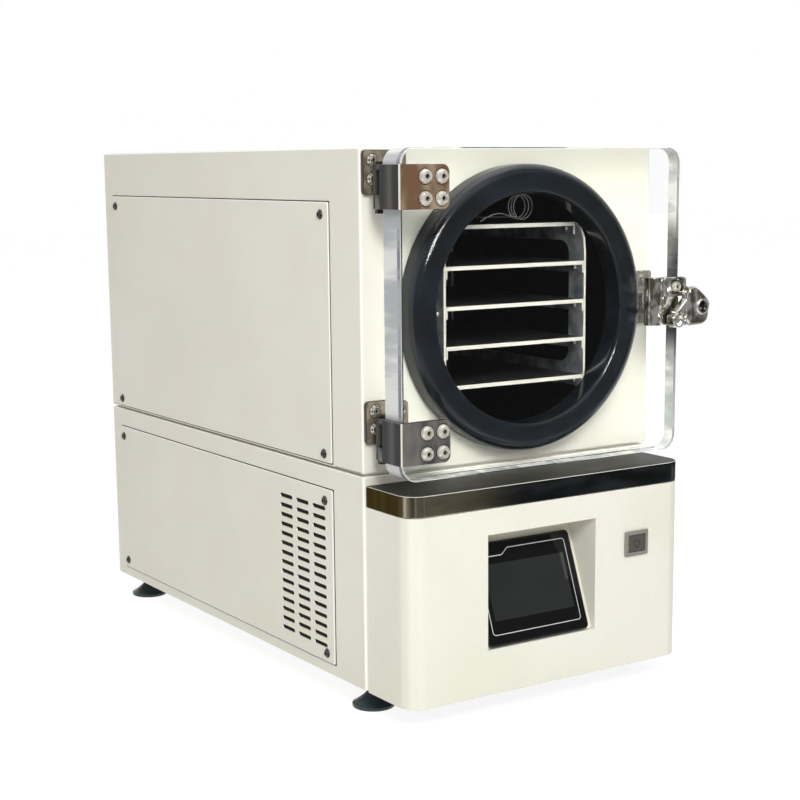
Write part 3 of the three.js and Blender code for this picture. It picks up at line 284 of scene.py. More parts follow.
def rackSteel():  # thin plate, its light painted in by facing: a painted cream highlight on its front edges, painted slate on its upright sides, painted dark reflection where it lies flat
    paint = Paint("rack_steel")
    facingX, facingY = paint.along("X", "Normal"), paint.along("Y", "Normal")
    grain = paint.streaks(0.003, "X")
    cloud = paint.noise(0.03, 3)
    flat = paint.mix(grain, (0.025, 0.025, 0.024), (0.085, 0.085, 0.085))
    upright = paint.mix(cloud.ramp(0.3, 0.7), (0.22, 0.24, 0.26), (0.60, 0.62, 0.64))
    # painted highlight on the front edges
    edge = paint.mix(grain, (0.60, 0.57, 0.48), (0.76, 0.74, 0.66))
    front = facingY < -0.6
    colour = paint.mix(front, paint.mix(abs(facingX) > 0.8, flat, upright), edge)
    return paint.surface(colour, 0.30 + 0.12 * grain, (grain, 0.00005, 0.4), Metallic=0.75 - 0.65 * front)


def chamberSteel():
    paint = Paint("chamber_steel")
    drawnLines = paint.streaks(0.006, "Y")
    cloud = paint.noise(0.05, 3)
    # near black: the chamber's shade is painted into the steel
    colour = paint.mix(cloud, (0.010, 0.010, 0.011), (0.034, 0.033, 0.031))
    return paint.surface(colour, 0.26 + 0.10 * drawnLines, (drawnLines, 0.00004, 0.3), Metallic=1.0)


def mouldedRubber():
    paint = Paint("moulded_rubber")
    skin = paint.noise(0.03, 1)
    bloom = paint.noise(0.05, 3)
    colour = paint.mix(bloom.ramp(0.3, 0.7), (0.003, 0.004, 0.005), (0.006, 0.010, 0.015))
    return paint.surface(colour, 0.10 + 0.08 * bloom, (skin, 0.0002, 0.3), Specular_IOR_Level=0.45)


def blackPlastic(name="black_plastic", level=(0.014, 0.015, 0.016), roughness=0.30):
    paint = Paint(name)
    grain = paint.noise(0.0011, 3)
    bloom = paint.noise(0.03, 2)
    colour = paint.mix(bloom, level, [2 * part for part in level])
    return paint.surface(colour, roughness + 0.12 * grain, (grain, 0.00002, 0.4), Specular_IOR_Level=0.45)


def clearAcrylic():  # clear through its two large faces, milky and blotched along its sawn edges; it casts no shadow
    paint = Paint("clear_acrylic")
    facingY = paint.along("Y", "Normal")
    x, y, z = paint.place("X"), paint.place("Y"), paint.place("Z")
    haze = paint.noise(0.05, 2)
    blotch = paint.noise(0.024, 3, (1, 0.16, 1))
    milky = paint.mix(blotch.ramp(0.35, 0.62), (0.50, 0.53, 0.54), (0.93, 0.93, 0.90))
    line = y.between(-67, -61) * blotch.ramp(0.3, 0.6) * 0.85
    sawn = paint.mix(line, milky, (0.09, 0.125, 0.18))
    # painted reflection: a dark band in the right sawn edge stands for the ring's image seen in it
    shade = (x > 385) * z.ramp(345, 395) * (1 - z.ramp(500, 535))
    sawn = paint.mix(shade, sawn, (0.07, 0.078, 0.08))
    clear = paint.add("ShaderNodeBsdfPrincipled", {
        "Base Color": (0.985, 0.995, 0.99), "Transmission Weight": 1.0, "IOR": 1.49,
        "Specular Tint": (0.25, 0.25, 0.25), "Roughness": 0.004 * haze,
    })
    rim = paint.add("ShaderNodeBsdfPrincipled", {"Base Color": sawn, "Roughness": 0.22 + 0.1 * blotch})
    solid = paint.add("ShaderNodeMixShader", {0: (abs(facingY) < 0.5) * 0.8, 1: clear, 2: rim})
    lit = paint.add("ShaderNodeLightPath", output="Is Shadow Ray")
    shadow = paint.add("ShaderNodeBsdfTransparent", {"Color": (0.93, 0.94, 0.93)})
    return paint.out(paint.add("ShaderNodeMixShader", {0: lit, 1: solid, 2: shadow}))


def plainMetal(name, colour, roughness, metallic=1.0):
    paint = Paint(name)
    grain = paint.noise(0.003, 3)
    dark = [0.72 * level for level in colour]
    colour = paint.mix(grain.ramp(0.3, 0.7), dark, colour)
    return paint.surface(colour, roughness + 0.12 * grain, (grain, 0.00005, 0.4), Metallic=metallic)


markSizes = {"middle": (322.8, 145.2), "radius": 4.2, "line": 0.55, "gap": 1.5, "bar": 0.5, "barUp": (1.2, 5.4)}


def switchMetal(name, level, hasMark):  # satin metal; the button has a ring and a bar pressed into it
    paint = Paint(name)
    grain = paint.noise(0.0016, 3)
    colour = paint.mix(grain.ramp(0.3, 0.7), [0.75 * part for part in level], level)
    if hasMark:
        s = markSizes
        across, up = paint.place("X") - s["middle"][0], paint.place("Z") - s["middle"][1]
        reach = (across * across + up * up).root()
        ring = (abs(reach - s["radius"]) < s["line"]) * (1 - (abs(across) < s["gap"]) * (up > 0))
        bar = (abs(across) < s["bar"]) * up.between(*s["barUp"])
        colour = paint.mix(ring.highest(bar) * 0.8, colour, (0.016, 0.016, 0.014))
    return paint.surface(colour, 0.3 + 0.1 * grain, (grain, 0.00004, 0.5), Metallic=0.35)


finishes = {
    "cream": powderCoat(),
    "panel": powderCoat("cream_sheet", True),
    "cap": darkMirror(),
    "hinge": hingeSteel(),
    "leaf": leafSteel(),
    "chrome": castChrome(),
    "rack": rackSteel(),
    "chamber": chamberSteel(),
    "rubber": mouldedRubber(),
    "plastic": blackPlastic(),
    "foam": blackPlastic("filter_foam", (0.004, 0.004, 0.004), 0.8),
    "gloss": blackPlastic("glossy_black", (0.006, 0.006, 0.007), 0.18),
    "foot": blackPlastic("foot_plastic", (0.012, 0.021, 0.027), 0.12),
    "acrylic": clearAcrylic(),
    "flange": plainMetal("flange_steel", (0.55, 0.55, 0.54), 0.24, 0.2),
    "keeper": plainMetal("keeper_steel", (0.52, 0.49, 0.42), 0.2, 0.7),
    "screw": plainMetal("screw_steel", (0.84, 0.80, 0.70), 0.22, 0.5),
    "darkScrew": plainMetal("blackened_steel", (0.065, 0.06, 0.052), 0.2, 0.8),
    # the dark finish of the painted shadows in and round screw heads
    "socket": plainMetal("socket_steel", (0.022, 0.020, 0.018), 0.35, 0.5),
    "zinc": plainMetal("zinc_plate", (0.50, 0.50, 0.47), 0.3),
    "enamel": plainMetal("black_enamel", (0.03, 0.03, 0.034), 0.34, 0.1),
    "aluminium": plainMetal("bare_aluminium", (0.66, 0.66, 0.66), 0.25),
    "wire": plainMetal("lead_wire", (0.92, 0.90, 0.84), 0.3, 0.1),
    "copper": plainMetal("copper", (0.62, 0.30, 0.16), 0.22),
    "switch": switchMetal("switch_metal", (0.34, 0.33, 0.29), False),
    "switchCap": switchMetal("switch_cap", (0.11, 0.108, 0.094), True),
}
print("finishes made:", len(finishes))


def asObject(name, shape):  # a bmesh in millimetres becomes an object still in millimetres
    mesh = bpy.data.meshes.new(name)
    shape.to_mesh(mesh)
    shape.free()
    return placed(name, mesh)


def baked(made):  # the mesh that an object's modifiers make of it; the modifiers then go
    bpy.context.view_layer.update()
    mesh = bpy.data.meshes.new_from_object(made.evaluated_get(bpy.context.evaluated_depsgraph_get()))
    made.modifiers.clear()
    return mesh


def combine(first, second, operation):
    made, tool = asObject("first", first), asObject("second", second)
    step = made.modifiers.new("step", "BOOLEAN")
    step.operation, step.solver, step.object, step.use_self = operation, "EXACT", tool, True
    shape = bmesh.new()
    shape.from_mesh(baked(made))
    for spare in (made, tool):
        bpy.data.objects.remove(spare)
    return shape


def fused(first, *others):
    for other in others:
        first = combine(first, other, "UNION")
    return first


def cut(first, *others):
    for other in others:
        first = combine(first, other, "DIFFERENCE")
    return first


def gathered(shapes):  # several separate bodies in one bmesh
    whole = bmesh.new()
    for shape in shapes:
        mesh = bpy.data.meshes.new("part")
        shape.to_mesh(mesh)
        shape.free()
        whole.from_mesh(mesh)
        bpy.data.meshes.remove(mesh)
    return whole


def arc(middle, radius, start, end, steps):
    turn = [math.radians(start + (end - start) * i / steps) for i in range(steps + 1)]
    return [(middle[0] + radius * math.cos(a), middle[1] + radius * math.sin(a)) for a in turn]


def roundedOutline(low, high, radius, steps=10):  # radius is one number, or one for each corner from low, low
    radii = radius if isinstance(radius, (list, tuple)) else [radius] * 4
    places = [(low[0], low[1], 180), (high[0], low[1], 270), (high[0], high[1], 0), (low[0], high[1], 90)]
    points = []
    for (x, y, start), r in zip(places, radii):
        middle = (x + r if x == low[0] else x - r, y + r if y == low[1] else y - r)
        points += arc(middle, r, start, start + 90, steps) if r else [(x, y)]
    return points


def roundOutline(middle, radius, steps=32):
    return arc(middle, radius, 0, 360 * (steps - 1) / steps, steps - 1)


def drawn(outline, axis, span, edge=0, segments=3):  # an outline drawn out along an axis, its rims rounded
    place = {
        "x": lambda a, b, c: (c, a, b), "y": lambda a, b, c: (a, c, b), "z": lambda a, b, c: (a, b, c),
    }[axis]
    shape = bmesh.new()
    rings = [[shape.verts.new(place(a, b, c)) for a, b in outline] for c in span]
    caps = [shape.faces.new(ring) for ring in rings]
    for i in range(len(outline)):
        j = (i + 1) % len(outline)
        shape.faces.new((rings[0][i], rings[0][j], rings[1][j], rings[1][i]))
    bmesh.ops.recalc_face_normals(shape, faces=shape.faces)
    if edge:
        rims = list({side for cap in caps for side in cap.edges})
        bmesh.ops.bevel(shape, geom=rims, offset=edge, segments=segments, profile=0.5, affect="EDGES")
    return shape


def block(x, y, z, edge=0, segments=2):
    shape = drawn([(x[0], y[0]), (x[1], y[0]), (x[1], y[1]), (x[0], y[1])], "z", z)
    if edge:
        bmesh.ops.bevel(shape, geom=shape.edges[:], offset=edge, segments=segments, profile=0.5, affect="EDGES")
    return shape


def turned(profile, middle, axis="y", steps=128):  # a closed profile of radius and depth, turned about an axis
    place = {
        "y": lambda r, h, a: (middle[0] + r * math.cos(a), h, middle[1] + r * math.sin(a)),
        "z": lambda r, h, a: (middle[0] + r * math.cos(a), middle[1] + r * math.sin(a), h),
        "x": lambda r, h, a: (h, middle[0] + r * math.cos(a), middle[1] + r * math.sin(a)),
    }[axis]
    shape = bmesh.new()
    rings = []
    for radius, height in profile:
        if radius:
            angles = [2 * math.pi * i / steps for i in range(steps)]
            rings.append([shape.verts.new(place(radius, height, a)) for a in angles])
        else:
            rings.append([shape.verts.new(place(0, height, 0))] * steps)
    for i, ring in enumerate(rings):
        after = rings[(i + 1) % len(rings)]
        for j in range(steps):
            k = (j + 1) % steps
            corners = list(dict.fromkeys((ring[j], ring[k], after[k], after[j])))
            if len(corners) > 2:
                shape.faces.new(corners)
    bmesh.ops.recalc_face_normals(shape, faces=shape.faces)
    return shape


def settle(made, name, finish, body, replaced=(), edge=0, crease=30):
    if edge:
        rounding = made.modifiers.new("edge", "BEVEL")
        rounding.width, rounding.segments = edge, 2
        rounding.limit_method, rounding.angle_limit = "ANGLE", math.radians(crease)
        made.data = baked(made)
    mesh = made.data
    mesh.validate()
    made.name = mesh.name = name
    mesh.shade_smooth()
    mesh.set_sharp_from_angle(angle=math.radians(crease))
    weigh = made.modifiers.new("weigh", "WEIGHTED_NORMAL")
    weigh.keep_sharp, weigh.weight = True, 80
    made.data = baked(made)
    made.data.transform(toWorld)
    if finish:  # a layout with several finishes has given them already
        made.data.materials.clear()
        made.data.materials.append(finish)
    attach(made, body)
    if replaced:
        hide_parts(*replaced)


def addPiece(name, shape, finish, node, edge=0, crease=30):  # one piece that stands for one node
    settle(asObject(name, shape), name, finishes[finish], bodyOf[node], (node,), edge=edge, crease=crease)


def merged(node):  # a copy of a node with its triangles joined into flat faces, in millimetres
    shape = bmesh.new()
    shape.from_mesh(nodes[node].data)
    bmesh.ops.transform(shape, matrix=toMillimetres, verts=shape.verts)
    bmesh.ops.remove_doubles(shape, verts=shape.verts, dist=0.01)
    bmesh.ops.dissolve_limit(shape, angle_limit=math.radians(0.5), verts=shape.verts, edges=shape.edges)
    return shape


def softened(node, finish, edge):  # a node with its edges broken, as folded and machined parts have them
    addPiece(node + "_fine", merged(node), finish, node, edge, 32)


class Layout(Graph):  # a geometry tree with named inputs; run() turns its result into a plain mesh
    kinds = {"geometry": "NodeSocketGeometry", "count": "NodeSocketInt", "size": "NodeSocketFloat",
             "place": "NodeSocketVector", "finish": "NodeSocketMaterial"}

    def __init__(self, name, inputs):
        super().__init__(bpy.data.node_groups.new(name, "GeometryNodeTree"))
        face = self.tree.interface
        face.new_socket("Geometry", in_out="OUTPUT", socket_type=self.kinds["geometry"])
        face.new_socket("Geometry", in_out="INPUT", socket_type=self.kinds["geometry"])
        named = {label: face.new_socket(label, in_out="INPUT", socket_type=self.kinds[kind])
                 for label, kind in inputs.items()}
        self.keys = {label: item.identifier for label, item in named.items()}
        self.source = self.tree.nodes.new("NodeGroupInput")

    def take(self, label="Geometry"):
        return Port(self, self.source.outputs[label])

    def joined(self, *parts):
        node = self.tree.nodes.new("GeometryNodeJoinGeometry")
        for part in parts:
            self.tree.links.new(part.socket, node.inputs[0])
        return Port(self, node.outputs[0])

    def node(self, kind, inputs, **settings):
        return self.add("GeometryNode" + kind, inputs, **settings)

    def vector(self, x, y, z):
        return self.add("ShaderNodeCombineXYZ", {"X": x, "Y": y, "Z": z})

    def close(self, geometry, second=None):  # second names an input's finish and the mark of what wears it
        done = self.node("RealizeInstances", {"Geometry": geometry})
        done = self.node("SetMaterial", {"Geometry": done, "Material": self.take("Finish")})
        if second:
            marked = self.node("InputNamedAttribute", {"Name": second}, data_type="BOOLEAN")
            done = self.node("SetMaterial", {"Geometry": done, "Selection": marked, "Material": self.take(second)})
        self.add("NodeGroupOutput", {"Geometry": done})
        return self

    def run(self, made, values):
        step = made.modifiers.new("layout", "NODES")
        step.node_group = self.tree
        for label, value in values.items():
            step[self.keys[label]] = value
        made.data = baked(made)


def ventLayout():  # obround slots in rows and columns, cut through an upright panel; Turn is about Z
    layout = Layout("vent_layout", {
        "Columns": "count", "Rows": "count", "Pitch Y": "size", "Pitch Z": "size", "Length": "size",
        "Height": "size", "Depth": "size", "Turn": "size", "Middle": "place", "Finish": "finish",
    })
    take = layout.take
    outline = layout.node("CurvePrimitiveQuadrilateral", {"Width": take("Length"), "Height": take("Height")})
    ends = layout.node("FilletCurve", {"Curve": outline, "Count": 5, "Radius": take("Height") * 0.499}, mode="POLY")
    flat = layout.node("FillCurve", {"Curve": ends}, mode="NGONS")
    wall = layout.node("ExtrudeMesh", {
        "Mesh": flat, "Offset Scale": take("Depth"), "Individual": False,
    }, mode="FACES")
    turnedBack = layout.node("FlipFaces", {"Mesh": flat})
    solid = layout.node("MergeByDistance", {"Geometry": layout.joined(wall, turnedBack), "Distance": 0.001})
    middled = layout.node("Transform", {"Geometry": solid, "Translation": layout.vector(0, 0, take("Depth") * -0.5)})
    grid = layout.node("MeshGrid", {
        "Size X": (take("Columns") - 1) * take("Pitch Y"), "Size Y": (take("Rows") - 1) * take("Pitch Z"),
        "Vertices X": take("Columns"), "Vertices Y": take("Rows"),
    })
    slots = layout.node("InstanceOnPoints", {"Points": grid, "Instance": middled})
    standing = layout.node("Transform", {
        "Geometry": slots, "Rotation": layout.vector(math.pi / 2, 0, take("Turn")), "Translation": take("Middle"),
    })
    tools = layout.node("RealizeInstances", {"Geometry": standing})
    pierced = layout.node("MeshBoolean", {"Mesh 1": take(), "Mesh 2": tools}, operation="DIFFERENCE", solver="EXACT")
    return layout.close(pierced)


def headLayout():  # a screw's head on each point with its hexagon socket; a dark disc in the socket's floor and a dark ring round the head are painted shadow; "turn" is about Z
    layout = Layout("head_layout", {
        "Radius": "size", "Shoulder": "size", "Crown": "size", "Rise": "size", "Socket": "size",
        "Depth": "size", "Finish": "finish", "Shadow": "finish",
    })
    take = layout.take

    def slab(kind, up, sizes):
        made = layout.node(kind, sizes)
        return layout.node("Transform", {"Geometry": made, "Translation": layout.vector(0, 0, up)})

    half = take("Rise") * 0.5
    skirt = slab("MeshCone", 0.2, {
        "Vertices": 28, "Radius Top": take("Shoulder"), "Radius Bottom": take("Radius"), "Depth": half})
    dome = slab("MeshCone", 0.199 + half, {
        "Vertices": 28, "Radius Top": take("Crown"), "Radius Bottom": take("Shoulder"), "Depth": half})
    head = layout.node("MeshBoolean", {"Mesh 2": layout.joined(skirt, dome)}, operation="UNION", solver="EXACT")
    key = slab("MeshCylinder", take("Rise"), {
        "Vertices": 6, "Radius": take("Socket"), "Depth": take("Depth") * 2})
    drilled = layout.node("MeshBoolean", {"Mesh 1": head, "Mesh 2": key}, operation="DIFFERENCE", solver="EXACT")
    # painted shadow: a dark floor in the socket and a dark ring under the head's rim
    floor = slab("MeshCylinder", take("Rise") - take("Depth") + 0.25, {
        "Vertices": 6, "Radius": take("Socket") * 0.97, "Depth": 0.2})
    shadowRing = slab("MeshCylinder", 0.06, {"Vertices": 28, "Radius": take("Radius") * 1.1, "Depth": 0.25})
    dark = layout.node("StoreNamedAttribute", {
        "Geometry": layout.joined(floor, shadowRing), "Name": "Shadow", "Value": True,
    }, data_type="BOOLEAN", domain="FACE")
    whole = layout.joined(drilled, dark)
    forward = layout.node("Transform", {"Geometry": whole, "Rotation": Euler((math.pi / 2, 0, 0))})
    turn = layout.node("InputNamedAttribute", {"Name": "turn"}, data_type="FLOAT")
    heads = layout.node("InstanceOnPoints", {
        "Points": take(), "Instance": forward, "Rotation": layout.vector(0, 0, turn),
    })
    return layout.close(heads, "Shadow")


def addHeads(name, places, kind, finish, body):  # places are x, y, z and degrees about Z
    mesh = bpy.data.meshes.new(name)
    mesh.from_pydata([place[:3] for place in places], [], [])
    turn = mesh.attributes.new("turn", "FLOAT", "POINT")
    for item, place in zip(turn.data, places):
        item.value = math.radians(place[3])
    made = placed(name, mesh)
    screwHeads.run(made, {**screwSizes[kind], "Finish": finishes[finish], "Shadow": finishes["socket"]})
    settle(made, name, None, body)


vents = ventLayout()
screwHeads = headLayout()
screwSizes = {
    "panel": {"Radius": 5.2, "Shoulder": 4.6, "Crown": 3.4, "Rise": 2.3, "Socket": 1.8, "Depth": 1.2},
    "cap": {"Radius": 8.1, "Shoulder": 7.4, "Crown": 5.6, "Rise": 4.6, "Socket": 3.0, "Depth": 2.6},
    "leaf": {"Radius": 6.8, "Shoulder": 6.1, "Crown": 4.6, "Rise": 3.6, "Socket": 2.5, "Depth": 2.0},
    "core": {"Radius": 6.2, "Shoulder": 5.8, "Crown": 4.8, "Rise": 2.6, "Socket": 3.2, "Depth": 2.2},
}

panelSizes = {
    "corner": 3, "fold": 1.2, "sheet": 1.6, "shadeStrip": 1.1, "gap": 1.2, "headRise": 2.6, "rim": 14,
    "filter": (2.5, 4), "filterCorner": 4, "shadeStripSpan": (0.12, 0.5), "shadeStripLap": 0.4, "through": 5, "slotDepth": 12.0,
    "walls": {"left": (0, 1, -90), "right": (400, -1, 90), "rear": (690, -1, 180)},  # plane, way in, turn of a screw
    "sideScrews": {"ends": (18, 12), "base": (12, 15), "upper": (11, 15)}, "rearScrews": 14,
    "sideVents": {"counts": (3, 15), "pitch": (38.6, 11.7), "slot": (30.5, 5.2), "first": (96.5, 33.4)},
    "rearVents": {"counts": (3, 5), "pitch": (50, 16), "slot": (40, 6), "first": (206, 60)},
    "inlet": ((81.6, 81.6), (110.4, 102.4)), "port": ((268, 436), 14.5),
}


def addPan(node, wall, ends, rises, slots=None, opening=None):  # a folded panel in a dark rubber strip of painted shade round its gap; returns its screws
    s = panelSizes
    low, high = boxOf(node)
    plane, inward, turn = s["walls"][wall]
    axis = "y" if wall == "rear" else "x"
    first, last = (low.x, high.x) if wall == "rear" else (low.y, high.y)
    face = {"left": low.x + s["headRise"], "right": high.x - s["headRise"], "rear": high.y - s["headRise"]}[wall]
    inside = face + inward * s["rim"]

    def drawnFrame(outset, span, edge=0):
        outline = roundedOutline((first - outset, low.z - outset), (last + outset, high.z + outset), s["corner"], 6)
        return drawn(outline, axis, sorted(span), edge)

    shape = cut(drawnFrame(0, (face, inside), s["fold"]),
                drawnFrame(-s["sheet"], (face + inward * s["sheet"], inside + inward)))
    if opening:
        shape = cut(shape, drawn(opening, axis, (face - s["through"], face + s["through"])))
    made = asObject(node + "_pan", shape)
    if slots:
        sizes = s[slots]
        spread = [(count - 1) * pitch / 2 for count, pitch in zip(sizes["counts"], sizes["pitch"])]
        along, up = [start + half for start, half in zip(sizes["first"], spread)]
        vents.run(made, {
            "Columns": sizes["counts"][0], "Rows": sizes["counts"][1], "Pitch Y": float(sizes["pitch"][0]),
            "Pitch Z": float(sizes["pitch"][1]), "Length": float(sizes["slot"][0]), "Height": float(sizes["slot"][1]),
            "Depth": s["slotDepth"], "Turn": 0.0 if wall == "rear" else math.pi / 2,
            "Middle": (along, face, up) if wall == "rear" else (face, along, up), "Finish": finishes["panel"],
        })
        half = [way + size for way, size in zip(spread, sizes["slot"])]
        behind = sorted(face + inward * depth for depth in s["filter"])
        outline = roundedOutline((along - half[0], up - half[1]), (along + half[0], up + half[1]), s["filterCorner"])
        settle(asObject("filter", drawn(outline, axis, behind)), node + "_filter", finishes["foam"],
               bodyOf[node])
    settle(made, node + "_pan", finishes["panel"], bodyOf[node], (node,))
    # painted shade: a thin dark strip round the panel stands for the shadow in its gap
    proud, sunk = s["shadeStripSpan"]
    strip = cut(drawnFrame(s["shadeStrip"], (plane - inward * proud, plane + inward * sunk)),
                drawnFrame(-s["shadeStripLap"], (plane - inward, plane + inward)))
    settle(asObject("shadeStrip", strip), node + "_shade_strip", finishes["rubber"], bodyOf[node])
    gap = s["gap"]
    across = (first - gap + ends[0], last + gap - ends[1])
    ups = (low.z - gap + rises[0], high.z + gap - rises[1])
    if wall == "rear":
        return [(x, face, z, turn) for x in across for z in ups]
    return [(face, y, z, turn) for y in across for z in ups]


def addPanels():
    s = panelSizes
    side, rear = s["sideScrews"], (s["rearScrews"],) * 2
    screws = []
    for wall in ("left", "right"):
        screws += addPan(wall + "_base_panel", wall, side["ends"], side["base"], "sideVents")
        screws += addPan(wall + "_upper_panel", wall, side["ends"], side["upper"])
    screws += addPan("rear_base_panel", "rear", rear, rear, "rearVents", roundedOutline(*s["inlet"], 1, 3))
    screws += addPan("rear_upper_panel", "rear", rear, rear, None, roundOutline(*s["port"], 40))
    addHeads("panel_screws", screws, "panel", "darkScrew", "cabinet")


addPanels()
print("panels folded, slotted and screwed on")


doorSizes = {"corner": 18, "cornerSteps": 14, "edge": 0.9, "spindleBore": 5.6, "boreAt": (386.5, 410.5)}


def addDoor():
    s = doorSizes
    low, high = boxOf("door_panel")
    outline = roundedOutline((low.x, low.z), (high.x, high.z), s["corner"], s["cornerSteps"])
    slab = drawn(outline, "y", (low.y, high.y), s["edge"], 1)
    bore = drawn(roundOutline(s["boreAt"], s["spindleBore"]), "y", (low.y - 1, high.y + 1))
    addPiece("door_slab", cut(slab, bore), "acrylic", "door_panel", crease=20)


addDoor()

ringSizes = {
    "inner": 130, "nose": 13, "lip": 7, "rim": (141.7, 146.3), "slot": -21, "back": -4, "wall": -0.3, "heel": 3,
    "steps": 160,
}


def addRing():
    s = ringSizes
    low, high = boxOf("door_gasket")
    outer, front = (high.x - low.x) / 2, low.y
    nose = arc((outer - s["nose"], front + s["nose"]), s["nose"], 0, -90, 10)
    lip = arc((s["inner"] + s["lip"], front + s["lip"]), s["lip"], -90, -180, 8)
    profile = [(s["rim"][0], s["back"]), (s["rim"][0], s["slot"]), (s["rim"][1], s["slot"]), (s["rim"][1], s["wall"]),
               (outer - s["heel"], s["wall"]), (outer, s["back"])] + nose + lip + [(s["inner"], s["back"])]
    middle = ((low.x + high.x) / 2, (low.z + high.z) / 2)
    addPiece("door_ring", turned(profile, middle, "y", s["steps"]), "rubber", "door_gasket")


addRing()
print("door and its ring made")

hingeSizes = {
    "plate": 6, "left": 1.5, "right": 65, "corner": 8, "flangeBack": -38, "gap": 0.3, "edge": 0.5, "fold": 2.4,
    "pin": (13, -20), "barrel": 7, "bore": 3.8, "ears": [(0, 15.2), (41.3, 47)],
    "web": [(1.5, -41), (7.5, -41), (7.5, -33.4), (19, -23), (13, -20), (6.6, -20), (1.5, -38)],
    "screwX": [34.4, 55.2], "screwZ": [11.3, 34.3], "shank": 3.3, "shankDepth": 24,
    "leafScrewX": [13.5, 38], "leafScrewZ": [31.5, 51.5], "leafFace": -5.3,
}


def addBracket(level):
    s = hingeSizes
    node = "door_bracket_" + level
    low, high = boxOf(node)
    front = boxOf("door_panel")[0].y - s["gap"] - s["plate"]
    left, inner, back = s["left"], s["left"] + s["plate"], front + s["plate"]
    bend = arc((left + s["fold"], front + s["fold"]), s["fold"], 180, 270, 8)
    bent = bend + [(s["right"], front), (s["right"], back), (inner, back),
                   (inner, s["flangeBack"]), (left, s["flangeBack"])]
    corners = roundedOutline((left - 9, low.z), (s["right"], high.z), [0, s["corner"], s["corner"], 0], 8)
    shape = combine(drawn(bent, "z", (low.z, high.z), s["edge"], 2),
                    drawn(corners, "y", (front - 5, s["flangeBack"] + 5)), "INTERSECT")
    for start, end in s["ears"]:
        span = (low.z + start, low.z + end)
        shape = fused(shape, drawn(s["web"], "z", span), drawn(roundOutline(s["pin"], s["barrel"], 40), "z", span))
    pinHole = drawn(roundOutline(s["pin"], s["bore"]), "z", (low.z - 1, high.z + 1))
    places = [(x, low.z + z) for x in s["screwX"] for z in s["screwZ"]]
    shanks = [drawn(roundOutline(at, s["shank"]), "y", (front - 1, front + s["shankDepth"])) for at in places]
    shape = fused(cut(shape, pinHole), gathered(shanks))
    addPiece("bracket_" + level, shape, "hinge", node)
    return [(x, front, z, 0) for x, z in places]


def addHinges():
    s = hingeSizes
    onDoor, onWall = [], []
    for level in ("upper", "lower"):
        onDoor += addBracket(level)
        softened("hinge_leaf_" + level, "leaf", 0.4)
        softened("hinge_pin_" + level, "darkScrew", 0.3)
        low = boxOf("door_bracket_" + level)[0]
        onWall += [(x, s["leafFace"], low.z + z, 0) for x in s["leafScrewX"] for z in s["leafScrewZ"]]
    addHeads("bracket_screws", onDoor, "cap", "screw", "door")
    addHeads("leaf_screws", onWall, "leaf", "screw", "cabinet")


addHinges()
print("hinges made")


def tangentOutline(circles, steps=10):  # arcs of a ring of circles, joined by their outer tangents
    leaving = []
    for i, (x, y, r) in enumerate(circles):
        nextX, nextY, nextR = circles[(i + 1) % len(circles)]
        along = math.atan2(nextY - y, nextX - x)
        leaving.append(math.degrees(along - math.acos((r - nextR) / math.hypot(nextX - x, nextY - y))))
    points = []
    for i, (x, y, r) in enumerate(circles):
        start, end = leaving[i - 1], leaving[i]
        while end < start:
            end += 360
        points += arc((x, y), r, start, end, steps)
    return points


latchSizes = {
    "spindleAt": (386.5, 410.5), "spindle": 4.5, "bore": 4.9, "boss": 9.5, "front": -84, "back": -70.3,
    "rib": {"at": 354.5, "radius": 10.5, "out": 5, "z": (400, 456), "edge": 1.4},
    "block": {"x": (362, 397), "z": (433, 456), "front": -86, "back": -70.3, "corner": 5, "edge": 1.4},
    "pocket": {"x": (367.6, 394.2), "z": (435.8, 453.2), "front": -87, "back": -79.5, "corner": 4, "edge": 0},
    "neck": {"x": (361, 387), "z": (400, 434), "front": -84, "back": -70.3, "corner": 4, "edge": 1.2},
    "bossEdge": 0.6, "screw": (386, 444),
}


def addLatchBody():
    s = latchSizes
    rib = s["rib"]

    def slab(part):
        (left, right), (bottom, top) = part["x"], part["z"]
        outline = roundedOutline((left, bottom), (right, top), part["corner"])
        return drawn(outline, "y", (part["front"], part["back"]), part["edge"])

    ribbed = cut(
        drawn(roundOutline((rib["at"], s["back"] - rib["out"]), rib["radius"], 40), "z", rib["z"], rib["edge"]),
        block((rib["at"] - 20, rib["at"] + 20), (s["back"], s["back"] + 20), (rib["z"][0] - 1, rib["z"][1] + 1)),
    )
    solid, pocket, web = [slab(s[part]) for part in ("block", "pocket", "neck")]
    boss = drawn(roundOutline(s["spindleAt"], s["boss"], 40), "y", (s["front"] - 0.02, s["back"]), s["bossEdge"])
    hole = drawn(roundOutline(s["spindleAt"], s["bore"]), "y", (s["front"] - 1, s["back"] + 1))
    shape = cut(fused(ribbed, solid, web, boss), pocket, hole)
    addPiece("latch_body", shape, "chrome", "latch_housing")
    addHeads("latch_screw", [(s["screw"][0], s["pocket"]["back"], s["screw"][1], 0)], "leaf", "screw", "door")


leverSizes = {
    "lobes": [(394, 408.5, 9), (407, 412, 12), (409.5, 422.5, 11.5), (395.5, 436, 9.5)],
    "front": -102, "back": -88, "bevel": 3.4, "hole": (407.5, 421, 6.6), "ring": 9.4, "ringRise": 1.8, "holeDepth": 8,
    "knob": (373, 406.5, 9.2), "knobFront": -101, "knobDish": 6.2, "knobDepth": 3.6,
    "arms": [((374, 414, 4.2), (393, 431, 5)), ((376, 402, 3.6), (401, 404, 4.4))], "armFront": -99.5,
    "web": [(373, 406.5, 7.5), (395, 410, 8)], "webFront": -94,
    "collar": 8, "fingerFront": -16.8, "fingerBack": -10.6, "fingerHalf": 4, "fingerReach": 21,
}


